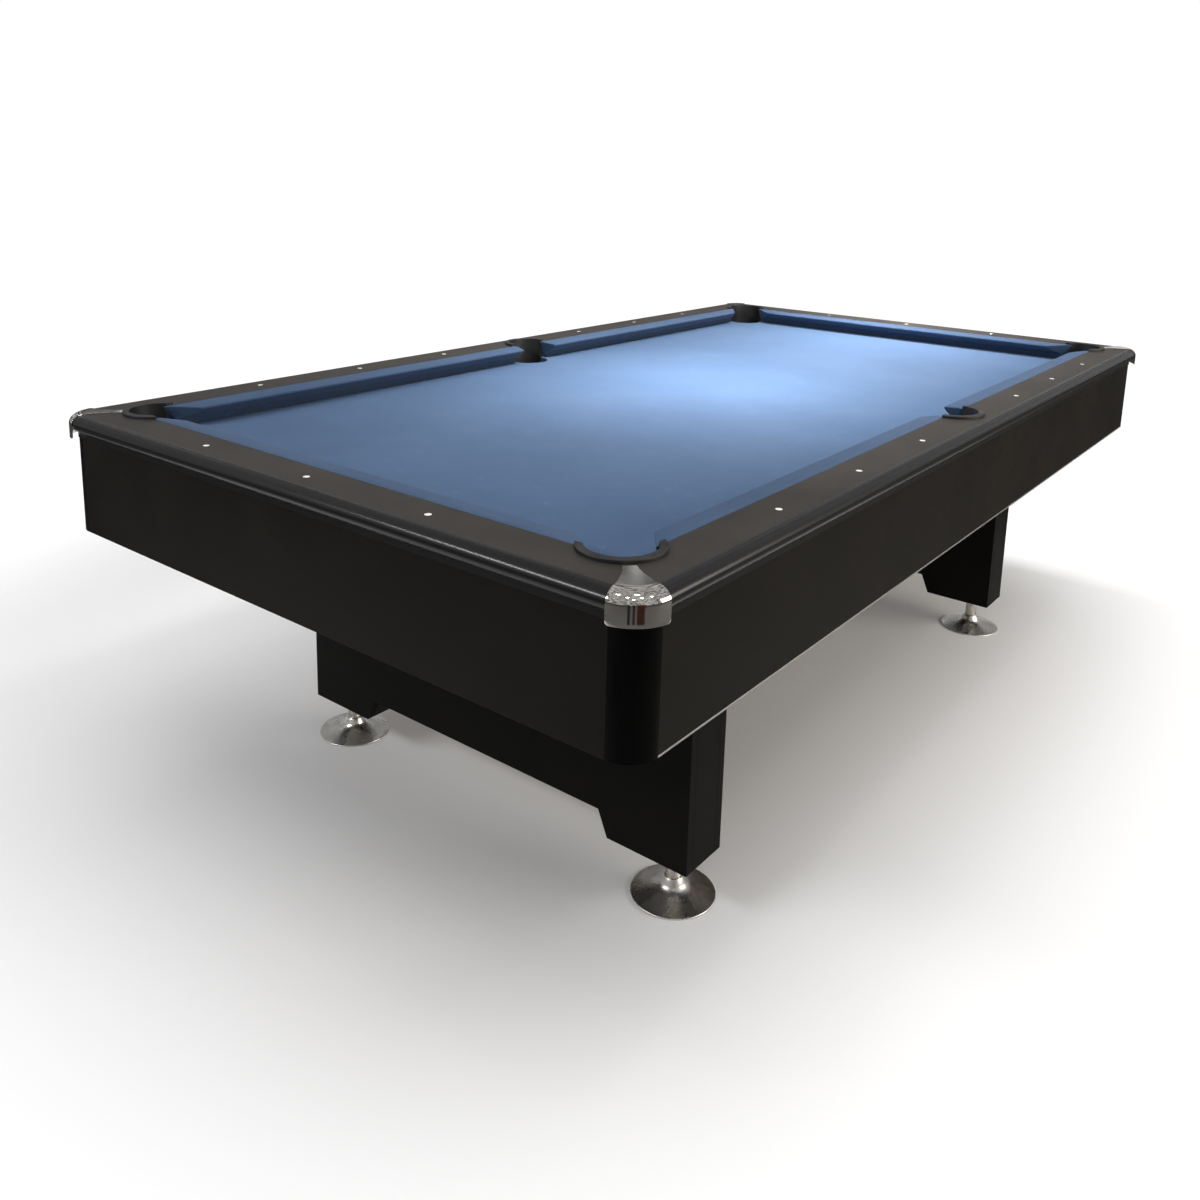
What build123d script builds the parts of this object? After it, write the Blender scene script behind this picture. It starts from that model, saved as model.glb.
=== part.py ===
from build123d import *
from math import cos, radians, sin
import os

# Eight-foot pool table: slate bed on a beam frame, cushioned rails, drop pockets,
# black laminate aprons and two box pedestals on four levelling feet.
#
# Millimetres, +Z up, origin on the floor under the middle of the table.
# +X runs along the table to the foot end, +Y to the left side.

# ---- playing area and heights ----
PLAY_LENGTH = 2240.0          # cushion nose to cushion nose
PLAY_WIDTH = 1120.0
RAIL_TOP = 790.0
RAIL_HEIGHT = 44.0            # rail top above the bed cloth
CLOTH = 0.9
SLATE_THICKNESS = 25.0
NOSE_HEIGHT = 36.5            # cushion nose above the bed cloth

# ---- distances outward from the cushion nose line ----
CUSHION_DEPTH = 32.0          # nose to the back of the rubber
CLOTH_EDGE = 44.5             # nose to where the cloth is tucked in
SIGHT_SETBACK = 88.0
SLATE_OVERHANG = 75.0
FLAT_EDGE = 122.0             # where the rail's flat top ends
APRON_FACE = 128.0
NOSING_OUT = 142.5
BOLT_SETBACK = 56.0

# ---- rail nosing ----
NOSING_UPPER = 17.0           # height of the upper quarter of the bullnose
NOSING_LOWER = 14.0
LIP = 1.5                     # lower lip of the rail, proud of the apron
CORNER_RADIUS = 62.5          # outermost corner radius, in plan

# ---- pockets ----
CORNER_MOUTH = 116.0
SIDE_MOUTH = 130.0
CORNER_FACING = 38.0          # facing turned from the nose line, degrees
SIDE_FACING = 76.0
FACING_DRAFT = 12.0           # back cut of the facings, degrees
FACING_PAD = 3.0
CORNER_POCKET_OFFSET = 10.0   # pocket centre outward from the nose lines
SIDE_POCKET_OFFSET = 42.0
CORNER_POCKET_RADIUS = 52.0
SIDE_POCKET_RADIUS = 53.0
LINER_WALL = 6.0
COLLAR_WIDTH = 12.0
COLLAR_HEIGHT = 6.0
LINER_DROP = 90.0             # collar underside down to the liner's lower edge
LINER_GAP = 0.4
SLATE_HOLE_GAP = 1.0          # slate hole wider than the liner's inside
SLATE_SHOULDER = 9.0
BUCKET_GAP = 1.5
BUCKET_WALL = 4.0
BUCKET_DEPTH = 120.0
BUCKET_FLANGE = 8.0

# ---- corner caps ----
CAP_THICKNESS = 2.0
CAP_SKIRT = 43.5              # rail top down to the cap's lower edge
CAP_NECK = 9.0                # half width at the pocket collar
CAP_SWELL = 6.0               # how much wider it is over the corner's centre
CAP_SPREAD = 40.0             # half the angle that the skirt spans, degrees
CAP_CORNER = 5.0              # rounding of the skirt's lower corners

# ---- small rail pieces ----
SIGHT_RADIUS = 5.5
SIGHT_DEPTH = 2.0
STRIP_WIDTH = 4.0
STRIP_DEPTH = 5.0
BOLT_RADIUS = 4.8
BOLT_GRIP = 26.0              # bolt length inside the rail
BOLT_HEAD_RADIUS = 8.0
BOLT_HEAD_HEIGHT = 6.0
WASHER_RADIUS = 13.0
WASHER_THICKNESS = 2.5
HOLE_GAP = 0.6                # bolt clearance in slate and cloth
SIDE_BOLT_STEP = 0.36         # share of half the playing length
END_BOLT_STEP = 0.68          # share of half the playing width
SNUG = 0.05                   # clearance round screws and pins in wood and stone

# ---- cabinet ----
APRON_THICKNESS = 18.0
APRON_BOTTOM = 557.0
TRIM_HEIGHT = 3.0
TRIM_PROUD = 0.6
BRACKET_LEG = 30.0
BRACKET_DROP = 50.0
BRACKET_LENGTH = 60.0
BRACKET_THICKNESS = 3.0
BRACKET_SPACING = 620.0

# ---- frame ----
BEAM_DEPTH = 140.0
BEAM_THICKNESS = 45.0
BEAM_SETBACK = 56.0           # nose line inward to the beams' outer face
CROSS_BEAM_WIDTH = 90.0
COACH_SCREW_LENGTH = 95.0
COACH_SCREW_RADIUS = 4.0
COACH_HEAD_RADIUS = 9.0
COACH_HEAD_HEIGHT = 5.0

# ---- slate fixings ----
DOWEL_RADIUS = 4.0
DOWEL_LENGTH = 40.0
SLATE_SCREW_RADIUS = 3.0
SLATE_SCREW_LENGTH = 60.0
SLATE_SCREW_HEAD = 6.5
SLATE_SCREW_INSET = 70.0      # in from a slate joint or the beams' ends

# ---- pedestals ----
PEDESTAL_END_INSET = 355.0    # nose line in to a pedestal's middle
PEDESTAL_THICKNESS = 110.0
PEDESTAL_INSET = 2.0          # in from the beams' outer faces, each side
PANEL = 18.0
LEG_BOTTOM = 88.0
LEG_WIDTH = 173.0             # at the bottom
CUT_HEIGHT = 50.0             # raised edge of the middle above the leg bottoms
CUT_SLOPE = 21.5              # how far each cheek leans in over that height
BLOCK_HEIGHT = 150.0
CLEAT_HEIGHT = 40.0
PEDESTAL_BOLT_RADIUS = 6.0
PEDESTAL_BOLT_INSET = 124.0   # in from the beams' outer faces
PEDESTAL_BOLT_SINK = 90.0     # beam top down to the bolt head's seat
PEDESTAL_BOLT_END = 5.0       # bolt tip above the cleat's underside
# bolt head and its socket, in bolt radii
HEAD_RADIUS_RATIO = 1.7
HEAD_HEIGHT_RATIO = 1.3
HEAD_SOCKET_RATIO = 2.5

# ---- levelling feet ----
FOOT_INSET = 61.0             # from the pedestal's end to the foot's axis
BASE_RADIUS = 78.0
BASE_RIM = 4.0
BASE_HEIGHT = 36.0
BASE_NECK_RADIUS = 18.0
SPIGOT_RADIUS = 9.0
SPIGOT_LENGTH = 22.0
FLAT_DEPTH = 1.5              # spanner flats, cut into the shank
FLAT_LOW = 22.0               # below the leg's bottom
FLAT_HIGH = 8.0
SHANK_RADIUS = 14.5
THREAD_RADIUS = 12.0
THREAD_LENGTH = 92.0
THREAD_GAP = 0.06             # running clearance, spigot and thread
INSERT_FLANGE_RADIUS = 30.0
INSERT_FLANGE = 4.0
INSERT_RADIUS = 18.0
INSERT_LENGTH = 40.0
STEM_ROOM = 3.0

# ---- worked out ----
HX = PLAY_LENGTH / 2
HY = PLAY_WIDTH / 2
BED = RAIL_TOP - RAIL_HEIGHT
SLATE_TOP = BED - CLOTH
FRAME_TOP = SLATE_TOP - SLATE_THICKNESS
FRAME_BOTTOM = FRAME_TOP - BEAM_DEPTH
CORNER_CENTRE = NOSING_OUT - CORNER_RADIUS
NOSING_DEPTH = NOSING_OUT - FLAT_EDGE
FLAT_RADIUS = CORNER_RADIUS - NOSING_DEPTH
APRON_RADIUS = CORNER_RADIUS - (NOSING_OUT - APRON_FACE)
BEAM_X = HX - BEAM_SETBACK
BEAM_Y = HY - BEAM_SETBACK
PEDESTAL_X = HX - PEDESTAL_END_INSET
PEDESTAL_WIDTH = 2 * (BEAM_Y - PEDESTAL_INSET)
PEDESTAL_BOLT_SPACING = BEAM_Y - PEDESTAL_BOLT_INSET
FOOT_Y = PEDESTAL_WIDTH / 2 - FOOT_INSET
SLATE_X = HX + SLATE_OVERHANG
SLATE_Y = HY + SLATE_OVERHANG
SLATE_JOINT = SLATE_X / 3
SIGHT_SPACING = PLAY_LENGTH / 8
FAR = 4000.0                  # larger than the table, for cutting blocks

Z_UP = (0, 0, 1)
LOW = (Align.CENTER, Align.CENTER, Align.MIN)


def save(node, shape):
    """Write one node; a list of solids becomes a group."""
    if isinstance(shape, (list, tuple)):
        shape = Compound(children=[s for item in shape for s in item.solids()])
    export_step(shape, f"parts/{node}.step")


def block(x0, x1, y0, y1, z0, z1):
    """A box given by its limits."""
    box = Box(x1 - x0, y1 - y0, z1 - z0)
    return Pos((x0 + x1) / 2, (y0 + y1) / 2, (z0 + z1) / 2) * box


def rod(x, y, z0, z1, radius):
    """An upright cylinder."""
    return Pos(x, y, z0) * Cylinder(radius, z1 - z0, align=LOW)


def half_space(point, normal):
    """Everything beyond a plane, on the side its normal points to."""
    plane = Plane(origin=point, z_dir=normal)
    return plane * Box(FAR, FAR, FAR, align=LOW)


def mirrored(shape, x=False, y=False):
    """A copy mirrored across the table's middle planes."""
    if x:
        shape = mirror(shape, about=Plane.YZ)
    if y:
        shape = mirror(shape, about=Plane.XZ)
    return shape


def four_ways(shape):
    """The copies in all four quarters of the table."""
    return [mirrored(shape, x, y) for x in (False, True) for y in (False, True)]


def to_end(shape):
    """Turn a piece built against the left side so that it faces the foot end."""
    return Rot(0, 0, -90) * shape


def profile(points, x=0.0):
    """A face in the plane across a rail, from (outward, height above bed) points."""
    edges = Polyline([(x, u, BED + h) for u, h in points], close=True)
    return make_face(edges)


# ---------------------------------------------------------------------------
# Rails. Each is built with its nose line on the X axis, outward along +Y, and
# its pocket corner at x = reach; it is then moved out to its side of the table.
# ---------------------------------------------------------------------------

TOP = RAIL_HEIGHT
CUSHION_OUTLINE = [
    (CUSHION_DEPTH, 16.0),
    (CUSHION_DEPTH, TOP - CLOTH),
    (5.0, NOSE_HEIGHT + 3.2),
    (1.9, NOSE_HEIGHT + 1.7),
    (CLOTH, NOSE_HEIGHT),
    (1.6, NOSE_HEIGHT - 2.0),
    (12.0, NOSE_HEIGHT - 11.5),
]
WOOD_FRONT = [
    (CUSHION_DEPTH, 0.0),
    (CLOTH_EDGE, 0.0),
    (CLOTH_EDGE, TOP - CLOTH),
    (CUSHION_DEPTH, TOP - CLOTH),
]


def bullnose_top(grow=0.0):
    """The upper quarter of the rail's rounded edge, from its widest point to the flat."""
    return EllipticalCenterArc(
        (FLAT_EDGE, RAIL_TOP - NOSING_UPPER), NOSING_DEPTH + grow, NOSING_UPPER + grow,
        0, arc_size=90)


def across(x):
    """The plane across a rail at x, drawn in (outward, height)."""
    return Plane(origin=(x, 0, 0), x_dir=(0, 1, 0), z_dir=(1, 0, 0))


def nosing_profile(x):
    """The rail's edge outside its flat top: a bullnose over a small upright lip."""
    upper = bullnose_top()
    lip = APRON_FACE + LIP
    lower = EllipticalCenterArc(
        (lip, RAIL_TOP - NOSING_UPPER), NOSING_OUT - lip, NOSING_LOWER, 270, arc_size=90)
    rest = Polyline(lower @ 0, (lip, BED), (FLAT_EDGE, BED), upper @ 1)
    return across(x) * make_face(upper + lower + rest)


def cap_profile(x):
    """The skin over the corner: round on top, then an upright skirt."""
    inner, outer = bullnose_top(), bullnose_top(CAP_THICKNESS)
    low = RAIL_TOP - CAP_SKIRT
    skirt = Polyline(
        outer @ 0, (NOSING_OUT + CAP_THICKNESS, low), (NOSING_OUT, low), inner @ 0)
    return across(x) * make_face(inner + outer + skirt + Line(inner @ 1, outer @ 1))


def corner_axis(reach):
    return Axis((reach + CORNER_CENTRE, CORNER_CENTRE, 0), Z_UP)


def facing_planes(reach, end):
    """The point and normal of the cut face at a pocket, leaning back below the nose."""
    if end == "corner":
        start = (reach - CORNER_MOUTH / 2 ** 0.5, 0)
        flat = (sin(radians(CORNER_FACING)), -cos(radians(CORNER_FACING)))
    else:
        start = (SIDE_MOUTH / 2, 0)
        flat = (-sin(radians(SIDE_FACING)), -cos(radians(SIDE_FACING)))
    lean = radians(FACING_DRAFT)
    normal = Vector(flat[0] * cos(lean), flat[1] * cos(lean), -sin(lean))
    return Vector(start[0], start[1], BED + NOSE_HEIGHT), normal


def cut_facings(shape, reach, ends, inset=0.0):
    """Trim a cushion piece at its pockets, short of the facing by an inset."""
    near = block(-FAR, FAR, -FAR, CLOTH_EDGE, 0, FAR)
    for end in ends:
        point, normal = facing_planes(reach, end)
        shape = shape - (half_space(point - normal * inset, normal) & near)
    return shape


def facing_pad(reach, end):
    """The rubber pad glued to the end of the rail."""
    point, normal = facing_planes(reach, end)
    body = extrude(profile(CUSHION_OUTLINE), 2 * reach, dir=(1, 0, 0))
    body += extrude(profile(WOOD_FRONT), 2 * reach, dir=(1, 0, 0))
    body = Pos(-reach / 2, 0, 0) * body
    pad = body - half_space(point, normal)
    return pad & half_space(point - normal * FACING_PAD, normal)


def rail_blank(reach):
    """Half a rail in wood, from x = 0 to its mitred corner, before its cuts."""
    arc = CenterArc((reach + CORNER_CENTRE, CORNER_CENTRE), FLAT_RADIUS, 45, 45)
    inner = (reach + CUSHION_DEPTH, CUSHION_DEPTH)
    outline = arc + Polyline(arc @ 1, (0, FLAT_EDGE), (0, CUSHION_DEPTH), inner, arc @ 0)
    wood = Pos(0, 0, BED) * extrude(make_face(outline), RAIL_HEIGHT)
    wood += extrude(nosing_profile(0), reach + CORNER_CENTRE, dir=(1, 0, 0))
    turned = revolve(
        nosing_profile(reach + CORNER_CENTRE), corner_axis(reach), revolution_arc=-45)
    wood += turned
    ledge = block(-1, FAR, 0, CLOTH_EDGE, RAIL_TOP - CLOTH, RAIL_TOP + 1)
    groove = block(
        -1, FAR, CLOTH_EDGE - STRIP_WIDTH, CLOTH_EDGE,
        RAIL_TOP - CLOTH - STRIP_DEPTH, RAIL_TOP)
    return wood - ledge - groove


def pocket_clearance(x, y, radius):
    """Where the pocket liner stands, behind the cloth edge."""
    hole = rod(x, y, BED - 1, RAIL_TOP + 1, radius + LINER_WALL + LINER_GAP)
    return hole & block(-FAR, FAR, CLOTH_EDGE, FAR, 0, FAR)


def cut_rail(wood, reach, ends, sights, bolts):
    wood = cut_facings(wood, reach, ends, FACING_PAD)
    wood -= pocket_clearance(
        reach + CORNER_POCKET_OFFSET, CORNER_POCKET_OFFSET, CORNER_POCKET_RADIUS)
    if "side" in ends:
        wood -= pocket_clearance(0, SIDE_POCKET_OFFSET, SIDE_POCKET_RADIUS)
    for x in sights:
        wood -= rod(x, SIGHT_SETBACK, RAIL_TOP - SIGHT_DEPTH, RAIL_TOP + 1, SIGHT_RADIUS)
    for x in bolts:
        wood -= rod(x, BOLT_SETBACK, BED - 1, BED + BOLT_GRIP, BOLT_RADIUS + SNUG)
    return wood


def along_rail(face_points, reach, ends, inset, whole):
    """A strip of cushion, cloth or feather along the rail, trimmed at its pockets."""
    start = -reach if whole else 0
    face = profile(face_points, start)
    strip = extrude(face, reach - start, dir=(1, 0, 0))
    strip = cut_facings(strip, reach, ends, inset)
    if whole:
        strip = strip & mirror(strip, about=Plane.YZ)
    return strip


def cloth_band(reach, ends, whole):
    """The cloth skin over cushion and rail front."""
    start = -reach if whole else 0
    core = profile(CUSHION_OUTLINE, start) + profile(WOOD_FRONT, start)
    grown = offset(core, CLOTH, kind=Kind.INTERSECTION)
    skin = extrude(grown, reach - start, dir=(1, 0, 0))
    skin -= extrude(core, reach - start, dir=(1, 0, 0))
    skin = skin & block(-FAR, FAR, -FAR, CLOTH_EDGE, BED, RAIL_TOP)
    skin = cut_facings(skin, reach, ends)
    if whole:
        skin = skin & mirror(skin, about=Plane.YZ)
    return skin


def rail_parts(reach, ends, sights, bolts, whole):
    """Every piece of one rail, at its own nose line."""
    wood = cut_rail(rail_blank(reach), reach, ends, sights, bolts)
    places = [(x, SIGHT_SETBACK) for x in sights]
    bolt_places = [(x, BOLT_SETBACK) for x in bolts]
    if whole:
        wood = wood + mirror(wood, about=Plane.YZ)
        places += [(-x, y) for x, y in places if x]
        bolt_places += [(-x, y) for x, y in bolt_places if x]
    strip_points = [
        (CLOTH_EDGE - STRIP_WIDTH, TOP - CLOTH - STRIP_DEPTH),
        (CLOTH_EDGE, TOP - CLOTH - STRIP_DEPTH),
        (CLOTH_EDGE, TOP - CLOTH),
        (CLOTH_EDGE - STRIP_WIDTH, TOP - CLOTH),
    ]
    pads = [facing_pad(reach, end) for end in ends]
    if whole:
        pads += [mirror(pad, about=Plane.YZ) for pad in pads]
    return {
        "wood": wood,
        "cushion": along_rail(CUSHION_OUTLINE, reach, ends, FACING_PAD, whole),
        "strip": along_rail(strip_points, reach, ends, FACING_PAD, whole),
        "cloth": cloth_band(reach, ends, whole),
        "pads": pads,
        "sights": [
            rod(x, y, RAIL_TOP - SIGHT_DEPTH, RAIL_TOP, SIGHT_RADIUS) for x, y in places],
        "bolts": [rail_bolt(x, y) for x, y in bolt_places],
        "washers": [rail_washer(x, y) for x, y in bolt_places],
    }


def rail_bolt(x, y):
    seat = FRAME_TOP - WASHER_THICKNESS
    shank = rod(x, y, seat, BED + BOLT_GRIP, BOLT_RADIUS)
    head = RegularPolygon(BOLT_HEAD_RADIUS, 6)
    head = extrude(Pos(x, y, seat - BOLT_HEAD_HEIGHT) * head, BOLT_HEAD_HEIGHT)
    return shank + head


def rail_washer(x, y):
    ring = rod(x, y, FRAME_TOP - WASHER_THICKNESS, FRAME_TOP, WASHER_RADIUS)
    hole = rod(x, y, FRAME_TOP - WASHER_THICKNESS, FRAME_TOP, BOLT_RADIUS + HOLE_GAP)
    return ring - hole


def placed(parts, move):
    """Move each piece of a rail to its side of the table."""
    return {
        name: [move(s) for s in piece] if isinstance(piece, list) else move(piece)
        for name, piece in parts.items()}


def make_rails():
    side_sights = [SIGHT_SPACING * n for n in (1, 2, 3)]
    side_bolts = [HX / 2 + step for step in (-HX * SIDE_BOLT_STEP, 0, HX * SIDE_BOLT_STEP)]
    end_bolts = [0, HY * END_BOLT_STEP]
    end_rail = rail_parts(HY, ["corner"], [0, SIGHT_SPACING], end_bolts, True)
    side_rail = rail_parts(HX, ["corner", "side"], side_sights, side_bolts, False)
    foot = placed(end_rail, lambda s: to_end(Pos(0, HX, 0) * s))
    left_foot = placed(side_rail, lambda s: Pos(0, HY, 0) * s)
    rails = {
        "foot": foot,
        "head": placed(foot, lambda s: mirrored(s, x=True)),
        "left_foot": left_foot,
        "left_head": placed(left_foot, lambda s: mirrored(s, x=True)),
        "right_foot": placed(left_foot, lambda s: mirrored(s, y=True)),
        "right_head": placed(left_foot, lambda s: mirrored(s, x=True, y=True)),
    }
    for place, rail in rails.items():
        save(f"{place}_rail", rail["wood"])
        save(f"{place}_cushion", rail["cushion"])
    everything = rails.values()
    save("rail_cloths", [rail["cloth"] for rail in everything])
    save("feather_strips", [rail["strip"] for rail in everything])
    save("pocket_facings", [pad for rail in everything for pad in rail["pads"]])
    save("sights", [sight for rail in everything for sight in rail["sights"]])
    save("rail_bolts", [s for rail in everything for s in rail["bolts"] + rail["washers"]])
    return [
        (s.center().X, s.center().Y) for rail in everything for s in rail["bolts"]]


# ---------------------------------------------------------------------------
# Pockets
# ---------------------------------------------------------------------------

def pocket_frame(kind):
    """Centre, inside radius, outward direction and cloth-edge block of one pocket."""
    if kind == "corner":
        centre = (HX + CORNER_POCKET_OFFSET, HY + CORNER_POCKET_OFFSET)
        outward = (cos(radians(45)), sin(radians(45)))
        front = block(-FAR, HX + CLOTH_EDGE, -FAR, HY + CLOTH_EDGE, 0, FAR)
        return centre, CORNER_POCKET_RADIUS, outward, front
    centre = (0, HY + SIDE_POCKET_OFFSET)
    front = block(-FAR, FAR, -FAR, HY + CLOTH_EDGE, 0, FAR)
    return centre, SIDE_POCKET_RADIUS, (0, 1), front


def liner(kind):
    """The rubber boot: a collar on the rail top and a wall behind the pocket."""
    (x, y), radius, outward, front = pocket_frame(kind)
    wall_radius = radius + LINER_WALL
    collar = rod(x, y, RAIL_TOP, RAIL_TOP + COLLAR_HEIGHT, radius + COLLAR_WIDTH)
    collar = fillet(collar.edges().sort_by(Axis.Z)[-1], COLLAR_HEIGHT / 3)
    wall = rod(x, y, BED, RAIL_TOP + 1, wall_radius)
    upper = (collar + wall) - front
    behind = half_space((x + outward[0], y + outward[1], 0), (outward[0], outward[1], 0))
    lower = rod(x, y, RAIL_TOP - LINER_DROP, BED + 1, wall_radius) & behind
    hole = rod(x, y, RAIL_TOP - LINER_DROP - 1, RAIL_TOP + COLLAR_HEIGHT + 1, radius)
    return (upper + lower) - hole


def bucket(kind):
    """The moulded cup that catches the balls, hung under the slate."""
    (x, y), radius, outward, _ = pocket_frame(kind)
    inside = radius + LINER_WALL + BUCKET_GAP
    floor = FRAME_TOP - BUCKET_DEPTH
    cup = rod(x, y, floor, FRAME_TOP, inside + BUCKET_WALL)
    cup = fillet(cup.edges().sort_by(Axis.Z)[0], BUCKET_WALL * 2)
    flange = rod(
        x, y, FRAME_TOP - BUCKET_WALL, FRAME_TOP, inside + BUCKET_WALL + BUCKET_FLANGE)
    flange -= half_space((x, y, 0), (outward[0], outward[1], 0))
    return cup + flange - rod(x, y, floor + BUCKET_WALL, FRAME_TOP + 1, inside)


def slate_cut(kind):
    """The pocket's opening in slate and cloth: round in front, open behind."""
    (x, y), radius, _, _ = pocket_frame(kind)
    hole = rod(x, y, 0, FAR, radius + SLATE_HOLE_GAP)
    width = 2 * (radius + SLATE_SHOULDER)
    slot = Box(width, FAR, FAR, align=(Align.CENTER, Align.MIN, Align.MIN))
    turn = -45 if kind == "corner" else 0
    return hole + Pos(x, y, 0) * Rot(0, 0, turn) * slot


def corner_cap():
    """Bright metal cap: a neck at the collar that flares out over the rounded corner."""
    axis = Axis((HX + CORNER_CENTRE, HY + CORNER_CENTRE, 0), Z_UP)
    skin = Pos(0, HY, 0) * cap_profile(HX + CORNER_CENTRE)
    shell = revolve(skin, axis, revolution_arc=-90)
    shell += rod(
        HX + CORNER_CENTRE, HY + CORNER_CENTRE, RAIL_TOP, RAIL_TOP + CAP_THICKNESS,
        FLAT_RADIUS)
    back = CORNER_POCKET_OFFSET * 2 ** 0.5 + CORNER_POCKET_RADIUS
    centre = CORNER_CENTRE * 2 ** 0.5
    rim = CORNER_RADIUS + CAP_THICKNESS
    tongue = Pos(HX, HY, RAIL_TOP) * Rot(0, 0, 45) * block(
        back, centre + FLAT_RADIUS / 2, -CAP_NECK * 3, CAP_NECK * 3, 0, CAP_THICKNESS)
    shell += tongue
    wide = rim * sin(radians(CAP_SPREAD))
    edge = centre + rim * cos(radians(CAP_SPREAD))
    flare = Spline(
        (back, CAP_NECK), (centre, CAP_NECK + CAP_SWELL), (edge, wide),
        tangents=((1, 0.1), (1, 0.3)))
    outline = flare + Polyline(
        flare @ 1, (edge + FAR, wide), (edge + FAR, 0), (back, 0), flare @ 0)
    half = make_face(outline)
    plan = half + mirror(half, about=Plane.XZ)
    plan = Pos(HX, HY, 0) * Rot(0, 0, 45) * plan
    shell = shell & extrude(plan, FAR)
    (x, y), radius, _, _ = pocket_frame("corner")
    shell -= rod(x, y, 0, FAR, radius + COLLAR_WIDTH + LINER_GAP)
    rim_ends = shell.edges().filter_by(GeomType.BSPLINE).sort_by(Axis.Z)[:2]
    return fillet(rim_ends, CAP_CORNER)


def make_pockets():
    corner_liner, side_liner = liner("corner"), liner("side")
    corner_names = ["left_foot", "right_foot", "left_head", "right_head"]
    for name, piece in zip(corner_names, four_ways(corner_liner)):
        save(f"{name}_pocket_liner", piece)
    save("left_side_pocket_liner", side_liner)
    save("right_side_pocket_liner", mirrored(side_liner, y=True))
    side_bucket = bucket("side")
    buckets = four_ways(bucket("corner")) + [side_bucket, mirrored(side_bucket, y=True)]
    save("pocket_buckets", buckets)
    save("corner_caps", four_ways(corner_cap()))


# ---------------------------------------------------------------------------
# Slate bed and its cloth
# ---------------------------------------------------------------------------

def make_bed(bolt_places):
    corners = four_ways(slate_cut("corner"))
    side = slate_cut("side")
    cuts = corners + [side, mirrored(side, y=True)]
    slate = block(-SLATE_X, SLATE_X, -SLATE_Y, SLATE_Y, FRAME_TOP, SLATE_TOP)
    cloth = block(-SLATE_X, SLATE_X, -SLATE_Y, SLATE_Y, SLATE_TOP, BED)
    for cut in cuts:
        slate -= cut
        cloth -= cut
    for x, y in bolt_places:
        hole = rod(x, y, 0, FAR, BOLT_RADIUS + HOLE_GAP)
        slate -= hole
        cloth -= hole
    middle = (FRAME_TOP + SLATE_TOP) / 2
    dowels = []
    for x in (-SLATE_JOINT, SLATE_JOINT):
        for y in (-HY / 2, 0, HY / 2):
            pin = Pos(x, y, middle) * Rot(0, 90, 0) * Cylinder(DOWEL_RADIUS, DOWEL_LENGTH)
            dowels.append(pin)
            slate -= Pos(x, y, middle) * Rot(0, 90, 0) * Cylinder(
                DOWEL_RADIUS + SNUG, DOWEL_LENGTH + 2)
    screws = slate_screws()
    for x, y in slate_screw_places():
        slate -= slate_screw(x, y, SNUG)
    save("head_slate", slate & block(-FAR, -SLATE_JOINT, -FAR, FAR, 0, FAR))
    save("middle_slate", slate & block(-SLATE_JOINT, SLATE_JOINT, -FAR, FAR, 0, FAR))
    save("foot_slate", slate & block(SLATE_JOINT, FAR, -FAR, FAR, 0, FAR))
    save("slate_dowels", dowels)
    save("slate_screws", screws)
    save("bed_cloth", cloth)


def slate_screw_places():
    """Two rows over the side beams: three screws a side in each slate."""
    y = BEAM_Y - BEAM_THICKNESS / 2
    near, far = SLATE_JOINT + SLATE_SCREW_INSET, BEAM_X - SLATE_SCREW_INSET
    half = [SLATE_JOINT - SLATE_SCREW_INSET, near, (near + far) / 2, far]
    return [(x, side * y) for x in [-x for x in half] + [0] + half for side in (-1, 1)]


def slate_screw(x, y, gap=0.0):
    top = SLATE_TOP
    depth = SLATE_SCREW_HEAD - SLATE_SCREW_RADIUS
    shank = rod(x, y, top - SLATE_SCREW_LENGTH - gap, top, SLATE_SCREW_RADIUS + gap)
    cone = Cone(SLATE_SCREW_RADIUS + gap, SLATE_SCREW_HEAD + gap, depth, align=LOW)
    return shank + Pos(x, y, top - depth) * cone


def slate_screws():
    return [slate_screw(x, y) for x, y in slate_screw_places()]


# ---------------------------------------------------------------------------
# Frame under the slate
# ---------------------------------------------------------------------------

def cross_beam_places():
    """Centre and width of each beam across the frame."""
    return [
        (-PEDESTAL_X, PEDESTAL_THICKNESS),
        (-SLATE_JOINT, CROSS_BEAM_WIDTH),
        (SLATE_JOINT, CROSS_BEAM_WIDTH),
        (PEDESTAL_X, PEDESTAL_THICKNESS)]


def coach_screw(x, y, z, gap=0.0):
    """A hex-headed screw driven in from the left side's outer face."""
    length = COACH_SCREW_LENGTH + gap
    shank = Cylinder(COACH_SCREW_RADIUS + gap, length, align=LOW)
    head = extrude(RegularPolygon(COACH_HEAD_RADIUS, 6), -COACH_HEAD_HEIGHT)
    return Pos(x, y, z) * Rot(90, 0, 0) * (shank + head)


def coach_screw_places():
    """Where each cross and end beam is held, on the left side."""
    ends = [(-BEAM_X + BEAM_THICKNESS / 2, BEAM_THICKNESS)]
    ends += [(BEAM_X - BEAM_THICKNESS / 2, BEAM_THICKNESS)]
    middle = (FRAME_TOP + FRAME_BOTTOM) / 2
    spread = BEAM_DEPTH / 4
    return [
        (x, middle + dz)
        for x, _ in ends + cross_beam_places()
        for dz in (-spread, spread)]


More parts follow.
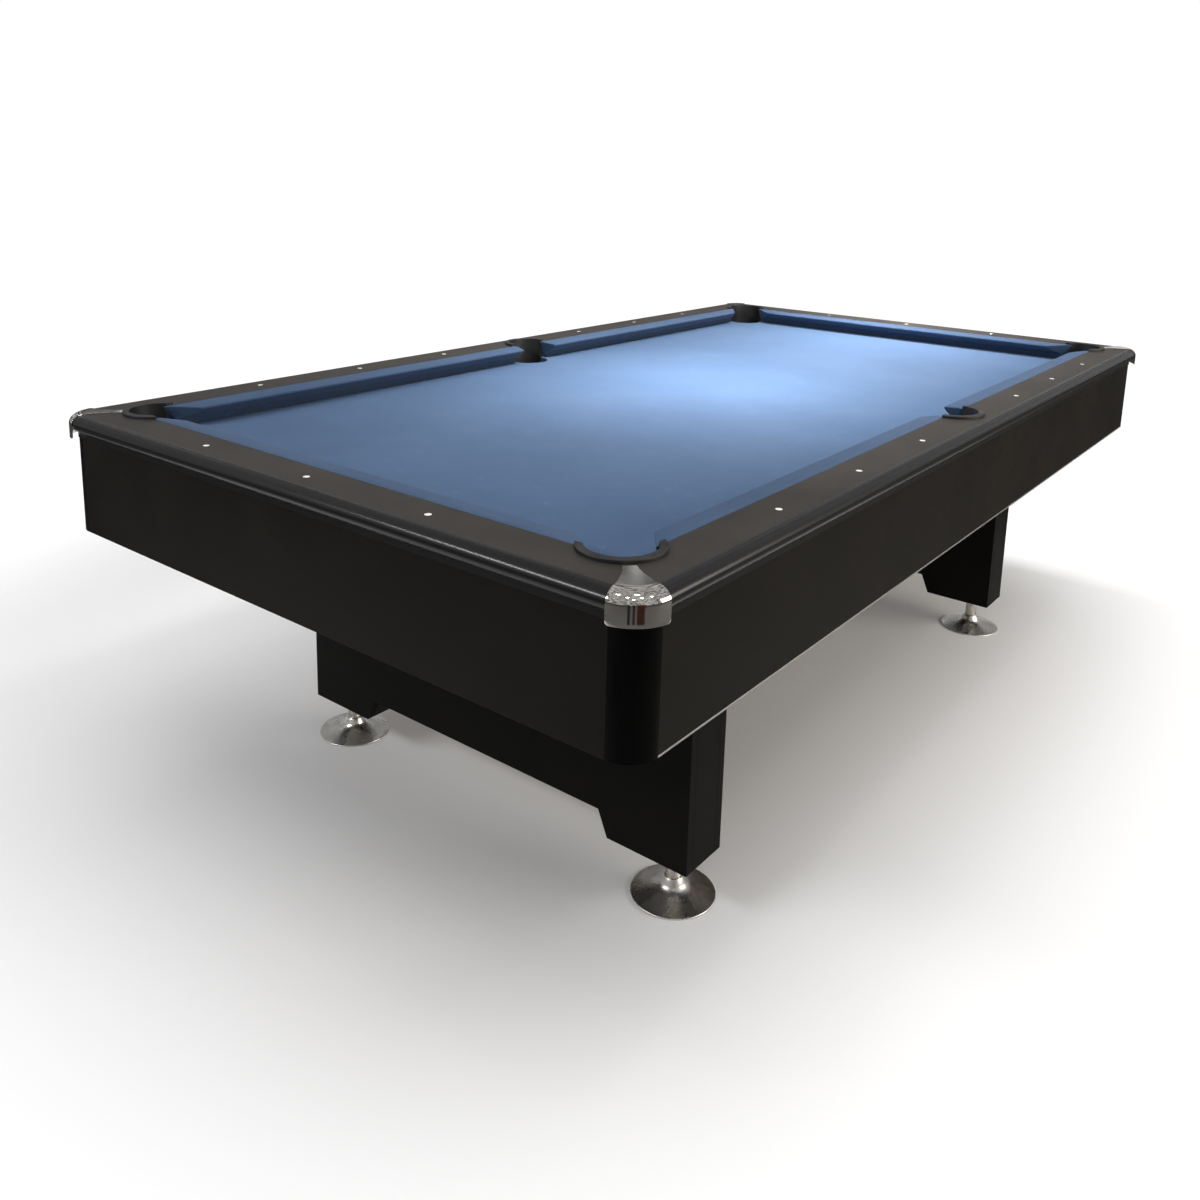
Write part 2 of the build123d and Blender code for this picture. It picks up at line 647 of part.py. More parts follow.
def make_frame():
    screws = [coach_screw(x, BEAM_Y, z) for x, z in coach_screw_places()]
    screws += [mirrored(s, y=True) for s in screws]
    holes = [coach_screw(x, BEAM_Y, z, SNUG) for x, z in coach_screw_places()]
    inner = BEAM_Y - BEAM_THICKNESS
    side = block(-BEAM_X, BEAM_X, inner, BEAM_Y, FRAME_BOTTOM, FRAME_TOP)
    for hole in holes:
        side -= hole
    for x, y in slate_screw_places():
        if y > 0:
            side -= slate_screw(x, y, SNUG)
    end = block(BEAM_X - BEAM_THICKNESS, BEAM_X, -inner, inner, FRAME_BOTTOM, FRAME_TOP)
    ends = [end, mirrored(end, x=True)]
    crosses = [
        block(x - w / 2, x + w / 2, -inner, inner, FRAME_BOTTOM, FRAME_TOP)
        for x, w in cross_beam_places()]
    both = holes + [mirrored(hole, y=True) for hole in holes]
    ends = [drilled(beam, both) for beam in ends]
    bolts = [pedestal_bolt(x, y) for x, y in pedestal_bolt_places()]
    sockets = [pedestal_bolt(x, y, SNUG) for x, y in pedestal_bolt_places()]
    crosses = [drilled(beam, both + sockets) for beam in crosses]
    save("frame_beams", [side, mirrored(side, y=True)] + ends)
    save("frame_cross_beams", crosses)
    save("frame_screws", screws)
    save("pedestal_bolts", bolts)


def drilled(piece, holes):
    """The piece without those holes whose boxes reach it."""
    box = piece.bounding_box()
    for hole in holes:
        if box.overlaps(hole.bounding_box()):
            piece = piece - hole
    return piece


# ---------------------------------------------------------------------------
# Aprons
# ---------------------------------------------------------------------------

def bracket(x):
    """An angle bracket under a rail, holding the apron."""
    inner = APRON_FACE - APRON_THICKNESS
    half = BRACKET_LENGTH / 2
    flat = block(
        x - half, x + half, inner - BRACKET_LEG, inner, BED - BRACKET_THICKNESS, BED)
    drop = block(
        x - half, x + half, inner - BRACKET_THICKNESS, inner, BED - BRACKET_DROP, BED)
    return flat + drop


def make_aprons():
    inner = APRON_FACE - APRON_THICKNESS
    side_half = HX + CORNER_CENTRE
    end_half = HY + CORNER_CENTRE
    side = block(
        -side_half, side_half, HY + inner, HY + APRON_FACE, APRON_BOTTOM + TRIM_HEIGHT, BED)
    trim = block(
        -side_half, side_half, HY + inner, HY + APRON_FACE + TRIM_PROUD,
        APRON_BOTTOM, APRON_BOTTOM + TRIM_HEIGHT)
    end = block(HX + inner, HX + APRON_FACE, -end_half, end_half, APRON_BOTTOM, BED)
    save("left_apron", side)
    save("right_apron", mirrored(side, y=True))
    save("foot_apron", end)
    save("head_apron", mirrored(end, x=True))
    save("apron_trims", [trim, mirrored(trim, y=True)])
    ring = rod(side_half, end_half, APRON_BOTTOM, BED, APRON_RADIUS)
    ring -= rod(side_half, end_half, APRON_BOTTOM, BED, APRON_RADIUS - APRON_THICKNESS)
    post = ring & block(side_half, FAR, end_half, FAR, 0, FAR)
    save("corner_posts", four_ways(post))
    side_brackets = [
        Pos(0, HY, 0) * bracket(BRACKET_SPACING * n) for n in (-1.5, -0.5, 0.5, 1.5)]
    end_brackets = [
        to_end(Pos(0, HX, 0) * bracket(BRACKET_SPACING * n)) for n in (-0.5, 0.5)]
    brackets = side_brackets + [mirrored(b, y=True) for b in side_brackets]
    brackets += end_brackets + [mirrored(b, x=True) for b in end_brackets]
    save("apron_brackets", brackets)


# ---------------------------------------------------------------------------
# Pedestals and levelling feet
# ---------------------------------------------------------------------------

def pedestal_bolt_places():
    return [
        (side * PEDESTAL_X, PEDESTAL_BOLT_SPACING * n)
        for side in (-1, 1) for n in (-1, 0, 1)]


def pedestal_bolt(x, y, gap=0.0):
    """A bolt down through a cross beam into the pedestal's cleat; its head is sunk."""
    seat = FRAME_TOP - PEDESTAL_BOLT_SINK
    low = FRAME_BOTTOM - CLEAT_HEIGHT + PEDESTAL_BOLT_END
    shank = rod(x, y, low - gap, seat, PEDESTAL_BOLT_RADIUS + gap)
    if gap:
        return shank + rod(x, y, seat, FRAME_TOP + 1, HEAD_SOCKET_RATIO * PEDESTAL_BOLT_RADIUS)
    head = RegularPolygon(HEAD_RADIUS_RATIO * PEDESTAL_BOLT_RADIUS, 6)
    head = extrude(Pos(x, y, seat) * head, HEAD_HEIGHT_RATIO * PEDESTAL_BOLT_RADIUS)
    return shank + head


def pedestal_outline():
    """The face panel: two legs with the middle raised between sloping cheeks."""
    half = PEDESTAL_WIDTH / 2
    leg = half - LEG_WIDTH
    raised = LEG_BOTTOM + CUT_HEIGHT
    right = [(half, FRAME_BOTTOM), (half, LEG_BOTTOM), (leg, LEG_BOTTOM),
             (leg - CUT_SLOPE, raised)]
    left = [(-y, z) for y, z in reversed(right)]
    return [(0, y, z) for y, z in right + left]


def insert_hole(x, y, gap):
    """The seat of a threaded insert and the room above it for the stem."""
    seat = rod(x, y, LEG_BOTTOM - 1, LEG_BOTTOM + INSERT_FLANGE, INSERT_FLANGE_RADIUS + gap)
    hub = rod(x, y, LEG_BOTTOM, LEG_BOTTOM + INSERT_LENGTH, INSERT_RADIUS + gap)
    room = rod(x, y, LEG_BOTTOM, LEG_BOTTOM + THREAD_LENGTH + STEM_ROOM,
               THREAD_RADIUS + STEM_ROOM)
    return seat + hub + room


def threaded_insert(x, y):
    plate = rod(x, y, LEG_BOTTOM, LEG_BOTTOM + INSERT_FLANGE, INSERT_FLANGE_RADIUS)
    hub = rod(x, y, LEG_BOTTOM, LEG_BOTTOM + INSERT_LENGTH, INSERT_RADIUS)
    bore = rod(x, y, 0, FAR, THREAD_RADIUS + THREAD_GAP)
    return plate + hub - bore


def leg_block():
    """Solid wood filling the left leg of the foot pedestal."""
    depth = PEDESTAL_THICKNESS - 2 * PANEL
    half = PEDESTAL_WIDTH / 2 - PANEL
    leg = PEDESTAL_WIDTH / 2 - LEG_WIDTH
    raised = LEG_BOTTOM + CUT_HEIGHT
    top = LEG_BOTTOM + BLOCK_HEIGHT
    lean = leg - CUT_SLOPE
    points = [(half, LEG_BOTTOM), (half, top), (lean, top), (lean, raised),
              (leg, LEG_BOTTOM)]
    start = PEDESTAL_X - depth / 2
    face = make_face(Polyline([(start, y, z) for y, z in points], close=True))
    solid = extrude(face, depth, dir=(1, 0, 0))
    return solid - insert_hole(PEDESTAL_X, FOOT_Y, SNUG)


def make_pedestals():
    face = make_face(Polyline(pedestal_outline(), close=True))
    outer_start = PEDESTAL_X + PEDESTAL_THICKNESS / 2 - PANEL
    inner_start = PEDESTAL_X - PEDESTAL_THICKNESS / 2
    outer = Pos(outer_start, 0, 0) * extrude(face, PANEL, dir=(1, 0, 0))
    inner = Pos(inner_start, 0, 0) * extrude(face, PANEL, dir=(1, 0, 0))
    x0, x1 = inner_start + PANEL, outer_start
    half = PEDESTAL_WIDTH / 2
    side = block(x0, x1, half - PANEL, half, LEG_BOTTOM, FRAME_BOTTOM)
    leg = leg_block()
    lean = half - LEG_WIDTH - CUT_SLOPE
    raised = LEG_BOTTOM + CUT_HEIGHT
    board = block(x0, x1, -lean, lean, raised, raised + PANEL)
    cleat = block(
        x0, x1, PANEL - half, half - PANEL, FRAME_BOTTOM - CLEAT_HEIGHT, FRAME_BOTTOM)
    for x, y in pedestal_bolt_places():
        cleat -= pedestal_bolt(x, y, SNUG)
    blocks = [leg, mirrored(leg, y=True), board, cleat]
    sides = [side, mirrored(side, y=True)]
    for name, flip in (("foot", False), ("head", True)):
        save(f"{name}_pedestal_outer_panel", mirrored(outer, x=flip))
        save(f"{name}_pedestal_inner_panel", mirrored(inner, x=flip))
        save(f"{name}_pedestal_side_panels", [mirrored(s, x=flip) for s in sides])
        save(f"{name}_pedestal_blocks", [mirrored(b, x=flip) for b in blocks])


def leveller_base():
    """A cast foot: thin rim, shallow hollow flare and a short neck with a socket."""
    rim = BASE_RADIUS - BASE_RIM / 2
    flare = Spline(
        (rim, BASE_RIM), (0.52 * BASE_RADIUS, 0.36 * BASE_HEIGHT),
        (BASE_NECK_RADIUS + 3, 0.78 * BASE_HEIGHT),
        tangents=((-1, 0.16), (-0.35, 1)))
    edge = ThreePointArc(
        (rim, 0), (BASE_RADIUS, BASE_RIM / 2), (rim, BASE_RIM))
    top = Polyline(
        flare @ 1, (BASE_NECK_RADIUS, BASE_HEIGHT - 2), (BASE_NECK_RADIUS - 1.5, BASE_HEIGHT),
        (0, BASE_HEIGHT), (0, 0), (rim, 0))
    face = make_face(edge + flare + top)
    body = revolve(Plane.XZ * face, Axis.Z)
    socket = SPIGOT_RADIUS + THREAD_GAP
    return body - rod(0, 0, BASE_HEIGHT - SPIGOT_LENGTH, BASE_HEIGHT + 1, socket)


def leveller_stem():
    """The turned stem: spigot in the base, plain shank with flats, and thread."""
    spigot = rod(0, 0, BASE_HEIGHT - SPIGOT_LENGTH + 1, BASE_HEIGHT, SPIGOT_RADIUS)
    shank = rod(0, 0, BASE_HEIGHT, LEG_BOTTOM, SHANK_RADIUS)
    flat = SHANK_RADIUS - FLAT_DEPTH
    for side in (-1, 1):
        shank -= block(
            *sorted((side * flat, side * 2 * SHANK_RADIUS)), -SHANK_RADIUS, SHANK_RADIUS,
            LEG_BOTTOM - FLAT_LOW, LEG_BOTTOM - FLAT_HIGH)
    thread = rod(0, 0, LEG_BOTTOM, LEG_BOTTOM + THREAD_LENGTH, THREAD_RADIUS)
    thread = chamfer(thread.edges().sort_by(Axis.Z)[-1], 1.5)
    return spigot + shank + thread


def make_feet():
    base, stem = leveller_base(), leveller_stem()
    inserts = []
    for end, x in (("head", -PEDESTAL_X), ("foot", PEDESTAL_X)):
        for side, y in (("left", FOOT_Y), ("right", -FOOT_Y)):
            save(f"{end}_{side}_leveller_base", Pos(x, y, 0) * base)
            save(f"{end}_{side}_leveller_stem", Pos(x, y, 0) * stem)
            inserts.append(threaded_insert(x, y))
    save("leg_inserts", inserts)


os.makedirs("parts", exist_ok=True)
make_bed(make_rails())
make_pockets()
make_frame()
make_aprons()
make_pedestals()
make_feet()
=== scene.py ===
import math

import bmesh
import bpy
from mathutils import Matrix, Vector
from mathutils.geometry import delaunay_2d_cdt


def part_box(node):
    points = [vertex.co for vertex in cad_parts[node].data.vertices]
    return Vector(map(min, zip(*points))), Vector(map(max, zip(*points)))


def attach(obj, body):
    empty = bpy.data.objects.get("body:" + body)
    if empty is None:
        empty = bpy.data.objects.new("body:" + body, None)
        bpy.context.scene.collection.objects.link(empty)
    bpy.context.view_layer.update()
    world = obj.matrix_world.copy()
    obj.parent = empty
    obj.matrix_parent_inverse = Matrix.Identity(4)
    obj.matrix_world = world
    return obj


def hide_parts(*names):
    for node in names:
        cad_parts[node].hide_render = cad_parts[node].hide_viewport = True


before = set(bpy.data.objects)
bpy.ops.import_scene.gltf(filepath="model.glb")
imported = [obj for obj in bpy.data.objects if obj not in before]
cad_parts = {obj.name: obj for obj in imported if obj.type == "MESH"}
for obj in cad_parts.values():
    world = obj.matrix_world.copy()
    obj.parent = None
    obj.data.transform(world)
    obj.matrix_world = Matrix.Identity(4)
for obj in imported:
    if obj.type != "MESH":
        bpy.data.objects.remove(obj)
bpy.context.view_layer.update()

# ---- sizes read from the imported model, in metres ----
CUSHION_DEPTH = 0.032
HALF_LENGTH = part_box("foot_rail")[0].x - CUSHION_DEPTH
HALF_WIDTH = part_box("left_foot_rail")[0].y - CUSHION_DEPTH
RAIL_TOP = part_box("foot_rail")[1].z
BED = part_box("bed_cloth")[1].z
SLATE_X, SLATE_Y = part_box("foot_slate")[1].x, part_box("foot_slate")[1].y
LEG_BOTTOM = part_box("leg_inserts")[0].z
STEM_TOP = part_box("head_left_leveller_stem")[1].z
STEM_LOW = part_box("head_left_leveller_stem")[0].z

# ---- sizes shared with the construction ----
CLOTH = 0.0009
CLOTH_GAP = CLOTH / 9         # between the bed cloth's fold and the slate's hole
FLAT_EDGE = 0.122             # nose line out to where the rail's edge starts to roll
NOSING_OUT = 0.1425           # nose line out to the rail's outermost line
NOSING_MIDDLE = 0.017         # rail top down to the nosing's widest line
CORNER_CENTRE = 0.080         # nose lines out to the centre of the corner's arcs
FLAT_RADIUS = 0.042           # corner radius of the rail's flat top
CAP_SKIN = 0.002
CAP_SKIRT = 0.0435            # rail top down to the cap's lower edge
CAP_SPREAD = math.radians(39.5)   # half the angle that the cap's skirt spans
CAP_NECK = 0.0088             # half width at the pocket collar
CAP_CORNER = 0.005            # rounding of the skirt's lower corners
COLLAR_REACH = 0.0644         # pocket centre to the cap's inner edge
CORNER_POCKET = (0.010, 0.052)   # centre outward from the nose lines, radius
SIDE_POCKET = (0.042, 0.053)
SLATE_SHOULDER = 0.009        # slate's slot wider than the pocket, each side
NOSE_HEIGHT = 0.0365          # cushion nose above the bed
CORNER_MOUTH = 0.116
SIDE_MOUTH = 0.130
CORNER_FACING = math.radians(38)   # facing turned from the nose line
SIDE_FACING = math.radians(76)
FACING_DRAFT = math.radians(12)    # lean of a facing from the upright
THREAD_PITCH = 0.003
THREAD_RADIUS = 0.012
DIAGONAL = math.sqrt(0.5)


# ---------------------------------------------------------------------------
# Shader building
# ---------------------------------------------------------------------------

class Wire:
    """A node's output, which can stand in a sum."""

    def __init__(self, finish, socket):
        self.finish, self.socket = finish, socket

    def maths(self, operation, *values):
        return self.finish.node("Math", {"operation": operation}, values=values)

    def __add__(self, other):
        return self.maths("ADD", self, other)

    def __sub__(self, other):
        return self.maths("SUBTRACT", self, other)

    def __rsub__(self, other):
        return self.maths("SUBTRACT", other, self)

    def __mul__(self, other):
        return self.maths("MULTIPLY", self, other)

    def __pow__(self, other):
        return self.maths("POWER", self, other)

    __radd__ = __add__
    __rmul__ = __mul__

    def wave(self):
        return self.maths("SINE", self)

    def size(self):
        return self.maths("ABSOLUTE", self)

    def most(self, other):
        return self.maths("MAXIMUM", self, other)

    def over(self, low, high):
        """0 at low, 1 at high, and held there beyond."""
        return self.finish.node("MapRange", {"interpolation_type": "SMOOTHSTEP"},
                                Value=self, From_Min=low, From_Max=high)


class Finish:
    """One material being built on its Principled shader."""

    def __init__(self, name, **constants):
        self.material = bpy.data.materials.new(name)
        self.material.use_nodes = True
        self.tree = self.material.node_tree
        self.shader = self.tree.nodes["Principled BSDF"]
        self.set(**constants)

    def feed(self, socket, value):
        if isinstance(value, Wire):
            self.tree.links.new(value.socket, socket)
        else:
            socket.default_value = value

    def set(self, **sockets):
        for name, value in sockets.items():
            self.feed(self.shader.inputs[name.replace("_", " ")], value)

    def node(self, kind, settings=None, out=0, values=(), **sockets):
        made = self.tree.nodes.new("ShaderNode" + kind)
        for key, value in (settings or {}).items():
            setattr(made, key, value)
        for place, value in enumerate(values):
            self.feed(made.inputs[place], value)
        for name, value in sockets.items():
            self.feed(made.inputs[name.replace("_", " ")], value)
        return Wire(self, made.outputs[out])

    def place(self):
        """The point on the piece, in metres."""
        return self.node("TexCoord", out="Object")

    def cloth_place(self):
        """The point on the flat cloth, in metres."""
        return self.node("UVMap", {"uv_map": "cloth"})

    def parts(self, vector):
        split = self.node("SeparateXYZ", Vector=vector)
        outputs = split.socket.node.outputs
        return [Wire(self, outputs[i]) for i in range(3)]

    def noise(self, scale, detail=2.0, roughness=0.5, stretch=(1, 1, 1), at=None, twist=0.0):
        at = at or self.place()
        at = self.node("Mapping", Vector=at, Scale=stretch)
        return self.node("TexNoise", Vector=at, Scale=scale, Detail=detail,
                         Roughness=roughness, Distortion=twist)

    def cells(self, scale):
        return self.node("TexVoronoi", Vector=self.place(), Scale=scale)

    def mixed(self, share, first, second):
        made = self.tree.nodes.new("ShaderNodeMix")
        made.data_type = "RGBA"
        for socket, value in zip((made.inputs[0], made.inputs[6], made.inputs[7]),
                                 (share, first, second)):
            self.feed(socket, value)
        return Wire(self, made.outputs[2])

    def bump(self, height, distance, strength):
        return self.node("Bump", Height=height, Distance=distance, Strength=strength)


def tint(red, green, blue):
    return (red, green, blue, 1.0)


# ---------------------------------------------------------------------------
# Finishes
# ---------------------------------------------------------------------------

def worsted_cloth(name, deep, light):
    """Close-woven wool with a short nap: crossing threads, fibres and soft wear."""
    made = Finish(name, Sheen_Weight=0.12, Sheen_Roughness=0.45,
                  Sheen_Tint=tint(0.55, 0.68, 0.9), Specular_IOR_Level=0.25)
    at = made.cloth_place()
    across, along, _ = made.parts(at)
    thread_step = 0.0011
    threads = 2 * math.pi / thread_step
    weave = (across * threads).wave() * (along * threads).wave()
    fibre = made.noise(1500, 2, 0.6, at=at)
    slub = made.noise(240, 3, 0.6, stretch=(1, 0.16, 1), at=at)
    wear = made.noise(2.6, 4, 0.6, at=at).over(0.3, 0.75)
    chalk = made.noise(34, 5, 0.75, at=at).over(0.56, 0.86)
    share = wear * 0.4 + slub * 0.22 + fibre * 0.2 + weave * 0.05 + 0.06
    worn = made.mixed(share, deep, light)
    dusty = made.mixed(chalk * 0.16, worn, tint(0.42, 0.50, 0.60))
    made.set(Base_Color=dusty, Roughness=0.86 + fibre * 0.12)
    made.set(Normal=made.bump(weave * 0.6 + fibre * 0.8 + slub * 0.5, 0.00018, 0.6))
    return made.material


def rail_laminate():
    """Satin black rail tops with a glossier rolled edge, dusted and finely scuffed; the flat tops'
    brown-black is lightened as a painted reflection of the ceiling.
    """
    made = Finish("rail_satin_black", Specular_IOR_Level=0.32)
    x, y, _ = made.parts(made.place())
    beyond = (x.size() - HALF_LENGTH).most(y.size() - HALF_WIDTH)
    rolled = beyond.over(FLAT_EDGE - 0.003, FLAT_EDGE + 0.002)
    cloudy = made.noise(7, 4, 0.6)
    scuff = made.noise(150, 3, 0.7, stretch=(1, 0.08, 1)).over(0.58, 0.8)
    specks = made.noise(620, 1, 0.5).over(0.7, 0.78)
    # Flat top: the laminate's own brown-black in a random cloudy tone, lightened by a painted
    # reflection of the ceiling; rolled edge: darker glossy black.
    dark = made.mixed(cloudy.over(0.3, 0.7), tint(0.022, 0.0190, 0.0165),
                      tint(0.033, 0.0285, 0.0245))
    dark = made.mixed(rolled, dark, tint(0.0105, 0.0105, 0.0110))
    dusted = made.mixed(specks * (1 - rolled) * 0.35, dark, tint(0.16, 0.145, 0.12))
    flat = 0.40 + cloudy * 0.14 + scuff * 0.06
    round_edge = 0.20 + cloudy * 0.07
    made.set(Base_Color=dusted, Roughness=flat * (1 - rolled) + round_edge * rolled)
    grain = made.noise(900, 2, 0.6)
    peel = made.noise(190, 2, 0.5)
    made.set(Normal=made.bump(grain * 0.6 * (1 - rolled) + peel * 0.5, 0.00012, 0.35))
    return made.material


def apron_laminate(name, dark, light, roughness, level):
    """Black melamine with a fine pressed grain and faint hand marks."""
    made = Finish(name, Specular_IOR_Level=level)
    pressed = made.noise(1100, 2, 0.6, stretch=(0.35, 0.35, 1))
    hands = made.noise(4.5, 4, 0.65).over(0.35, 0.75)
    wiped = made.noise(60, 3, 0.6, stretch=(0.12, 0.12, 1))
    made.set(Base_Color=made.mixed(hands * 0.6 + pressed * 0.4, dark, light),
             Roughness=roughness + hands * 0.10 + wiped * 0.05)
    made.set(Normal=made.bump(pressed, 0.00012, 0.35))
    return made.material


def corner_post_plastic():
    made = Finish("corner_post_gloss_black", Specular_IOR_Level=0.08)
    flow = made.noise(26, 3, 0.5, stretch=(1, 1, 0.25))
    marks = made.noise(420, 2, 0.7, stretch=(1, 1, 0.1)).over(0.6, 0.85)
    made.set(Base_Color=made.mixed(flow, tint(0.0020, 0.0020, 0.0021),
                                   tint(0.0045, 0.0043, 0.0041)),
             Roughness=0.24 + flow * 0.10 + marks * 0.12)
    made.set(Normal=made.bump(flow * 0.6 + made.noise(240, 2) * 0.4, 0.0003, 0.3))
    return made.material


def pocket_rubber():
    """Moulded rubber, its top greyed in patches as painted light from above."""
    made = Finish("pocket_rubber_black", Specular_IOR_Level=0.45)
    _, _, z = made.parts(made.place())
    # Painted light: the collar's top faces are greyed in patches, as if lit from above.
    on_top = z.over(RAIL_TOP + 0.0035, RAIL_TOP + 0.006)
    painted_top_light = on_top * made.noise(30, 4, 0.6).over(0.3, 0.7)
    pores = made.noise(700, 3, 0.6)
    made.set(Base_Color=made.mixed(painted_top_light, tint(0.0085, 0.0085, 0.0090),
                                   tint(0.032, 0.030, 0.028)),
             Roughness=0.42 + pores * 0.16 + painted_top_light * 0.05)
    made.set(Normal=made.bump(pores * 0.7 + made.noise(90, 2) * 0.6, 0.0002, 0.4))
    return made.material


def bucket_plastic():
    made = Finish("bucket_moulded_black", Specular_IOR_Level=0.4)
    pebble = made.cells(520)
    scuffs = made.noise(45, 4, 0.7).over(0.5, 0.8)
    made.set(Base_Color=made.mixed(scuffs, tint(0.011, 0.011, 0.012), tint(0.035, 0.035, 0.037)),
             Roughness=0.5 + scuffs * 0.2)
    made.set(Normal=made.bump(pebble, 0.0002, 0.4))
    return made.material


def bright_metal(name, base, warm, roughness, mottle, hairline, stretch, dent=0.25):
    """Plated or polished metal: hairlines, handling marks and a soft mottle."""
    made = Finish(name, Specular_IOR_Level=0.5)
    lines = made.noise(900, 2, 0.7, stretch=stretch)
    smears = made.noise(22, 4, 0.65, twist=0.4).over(0.35, 0.8)
    pits = made.noise(260, 3, 0.6).over(0.55, 0.8)
    made.set(Metallic=1.0 - pits * 0.08,
             Base_Color=made.mixed(smears * 0.7 + pits * 0.3, base, warm),
             Roughness=roughness + smears * mottle + lines * hairline)
    made.set(Normal=made.bump(lines * 0.4 + pits * 0.6, 0.00006, dent))
    return made.material


def turned_steel():
    """The stems: fine rings from the lathe and a little grease in them."""
    made = Finish("turned_stem_steel", Specular_IOR_Level=0.5)
    _, _, z = made.parts(made.place())
    ring_step = 0.0005
    rings = (z * (2 * math.pi / ring_step) + made.noise(40, 2) * 3).wave()
    grease = made.noise(60, 4, 0.7).over(0.5, 0.85)
    made.set(Metallic=1 - grease * 0.4,
             Base_Color=made.mixed(grease, tint(0.60, 0.57, 0.52), tint(0.16, 0.13, 0.10)),
             Roughness=0.22 + grease * 0.25 + rings * 0.03)
    made.set(Normal=made.bump(rings, 0.00004, 0.4))
    return made.material


def zinc_steel():
    made = Finish("zinc_plated_steel", Specular_IOR_Level=0.5)
    spangle = made.cells(160)
    dull = made.noise(50, 4, 0.6)
    made.set(Metallic=0.95 - dull * 0.1,
             Base_Color=made.mixed(spangle, tint(0.50, 0.51, 0.50), tint(0.66, 0.65, 0.60)),
             Roughness=0.30 + spangle * 0.2 + dull * 0.1)
    made.set(Normal=made.bump(dull, 0.0001, 0.3))
    return made.material


def slate_stone():
    """Ground grey slate with faint bedding and pale saw marks on its edges."""
    made = Finish("ground_slate", Specular_IOR_Level=0.35)
    bedding = made.noise(9, 6, 0.65, stretch=(1, 1, 14), twist=0.6)
    grit = made.noise(700, 3, 0.7)
    made.set(Base_Color=made.mixed(bedding, tint(0.060, 0.066, 0.072), tint(0.145, 0.150, 0.155)),
             Roughness=0.72 + grit * 0.16)
    made.set(Normal=made.bump(grit + bedding * 1.5, 0.0004, 0.5))
    return made.material


def frame_timber():
    """Sawn softwood: long wavering growth rings along the beam and darker knots."""
    made = Finish("frame_softwood", Specular_IOR_Level=0.3)
    rings = made.noise(11, 4, 0.55, stretch=(0.25, 1, 5), twist=1.4)
    streak = (rings * 46).wave() * 0.5 + 0.5
    pores = made.noise(420, 3, 0.7, stretch=(0.06, 0.4, 1))
    knots = made.noise(5, 3, 0.5).over(0.68, 0.8)
    wood = made.mixed(streak * 0.6 + pores * 0.4, tint(0.30, 0.19, 0.105),
                      tint(0.52, 0.37, 0.22))
    made.set(Base_Color=made.mixed(knots * 0.7, wood, tint(0.12, 0.062, 0.03)),
             Roughness=0.62 + pores * 0.2)
    made.set(Normal=made.bump(streak * 0.3 + pores, 0.0005, 0.5))
    return made.material


def stained_timber():
    """The pedestals' inner blocks, stained black where their edges show at the legs."""
    made = Finish("pedestal_block_stained", Specular_IOR_Level=0.15)
    grain = made.noise(260, 3, 0.65, stretch=(0.1, 0.5, 1))
    worn = made.noise(30, 4, 0.6).over(0.55, 0.85)
    made.set(Base_Color=made.mixed(grain * 0.6 + worn * 0.4, tint(0.006, 0.0055, 0.005),
                                   tint(0.016, 0.0135, 0.011)),
             Roughness=0.6 + grain * 0.2)
    made.set(Normal=made.bump(grain, 0.0003, 0.4))
    return made.material


def soft_rubber():
    made = Finish("cushion_gum_rubber", Specular_IOR_Level=0.35)
    bloom = made.noise(40, 4, 0.6)
    made.set(Base_Color=made.mixed(bloom, tint(0.020, 0.019, 0.018), tint(0.050, 0.047, 0.044)),
             Roughness=0.6 + bloom * 0.2)
    made.set(Normal=made.bump(made.noise(900, 2), 0.0001, 0.4))
    return made.material


def feather_strip():
    made = Finish("feather_strip_beech", Specular_IOR_Level=0.3)
    grain = made.noise(300, 3, 0.6, stretch=(0.05, 0.05, 1))
    made.set(Base_Color=made.mixed(grain, tint(0.33, 0.21, 0.12), tint(0.50, 0.36, 0.22)),
             Roughness=0.55 + grain * 0.2)
    made.set(Normal=made.bump(grain, 0.0002, 0.4))
    return made.material


def sight_pearl():
    made = Finish("sight_white_shell", Coat_Weight=0.5, Coat_Roughness=0.1)
    cloud = made.noise(420, 3, 0.6, twist=1.0)
    made.set(Base_Color=made.mixed(cloud, tint(0.78, 0.75, 0.68), tint(0.93, 0.92, 0.88)),
             Roughness=0.28 + cloud * 0.12)
    made.set(Normal=made.bump(cloud, 0.00005, 0.3))
    return made.material


BED_BLUE = tint(0.040, 0.076, 0.148), tint(0.068, 0.118, 0.212)
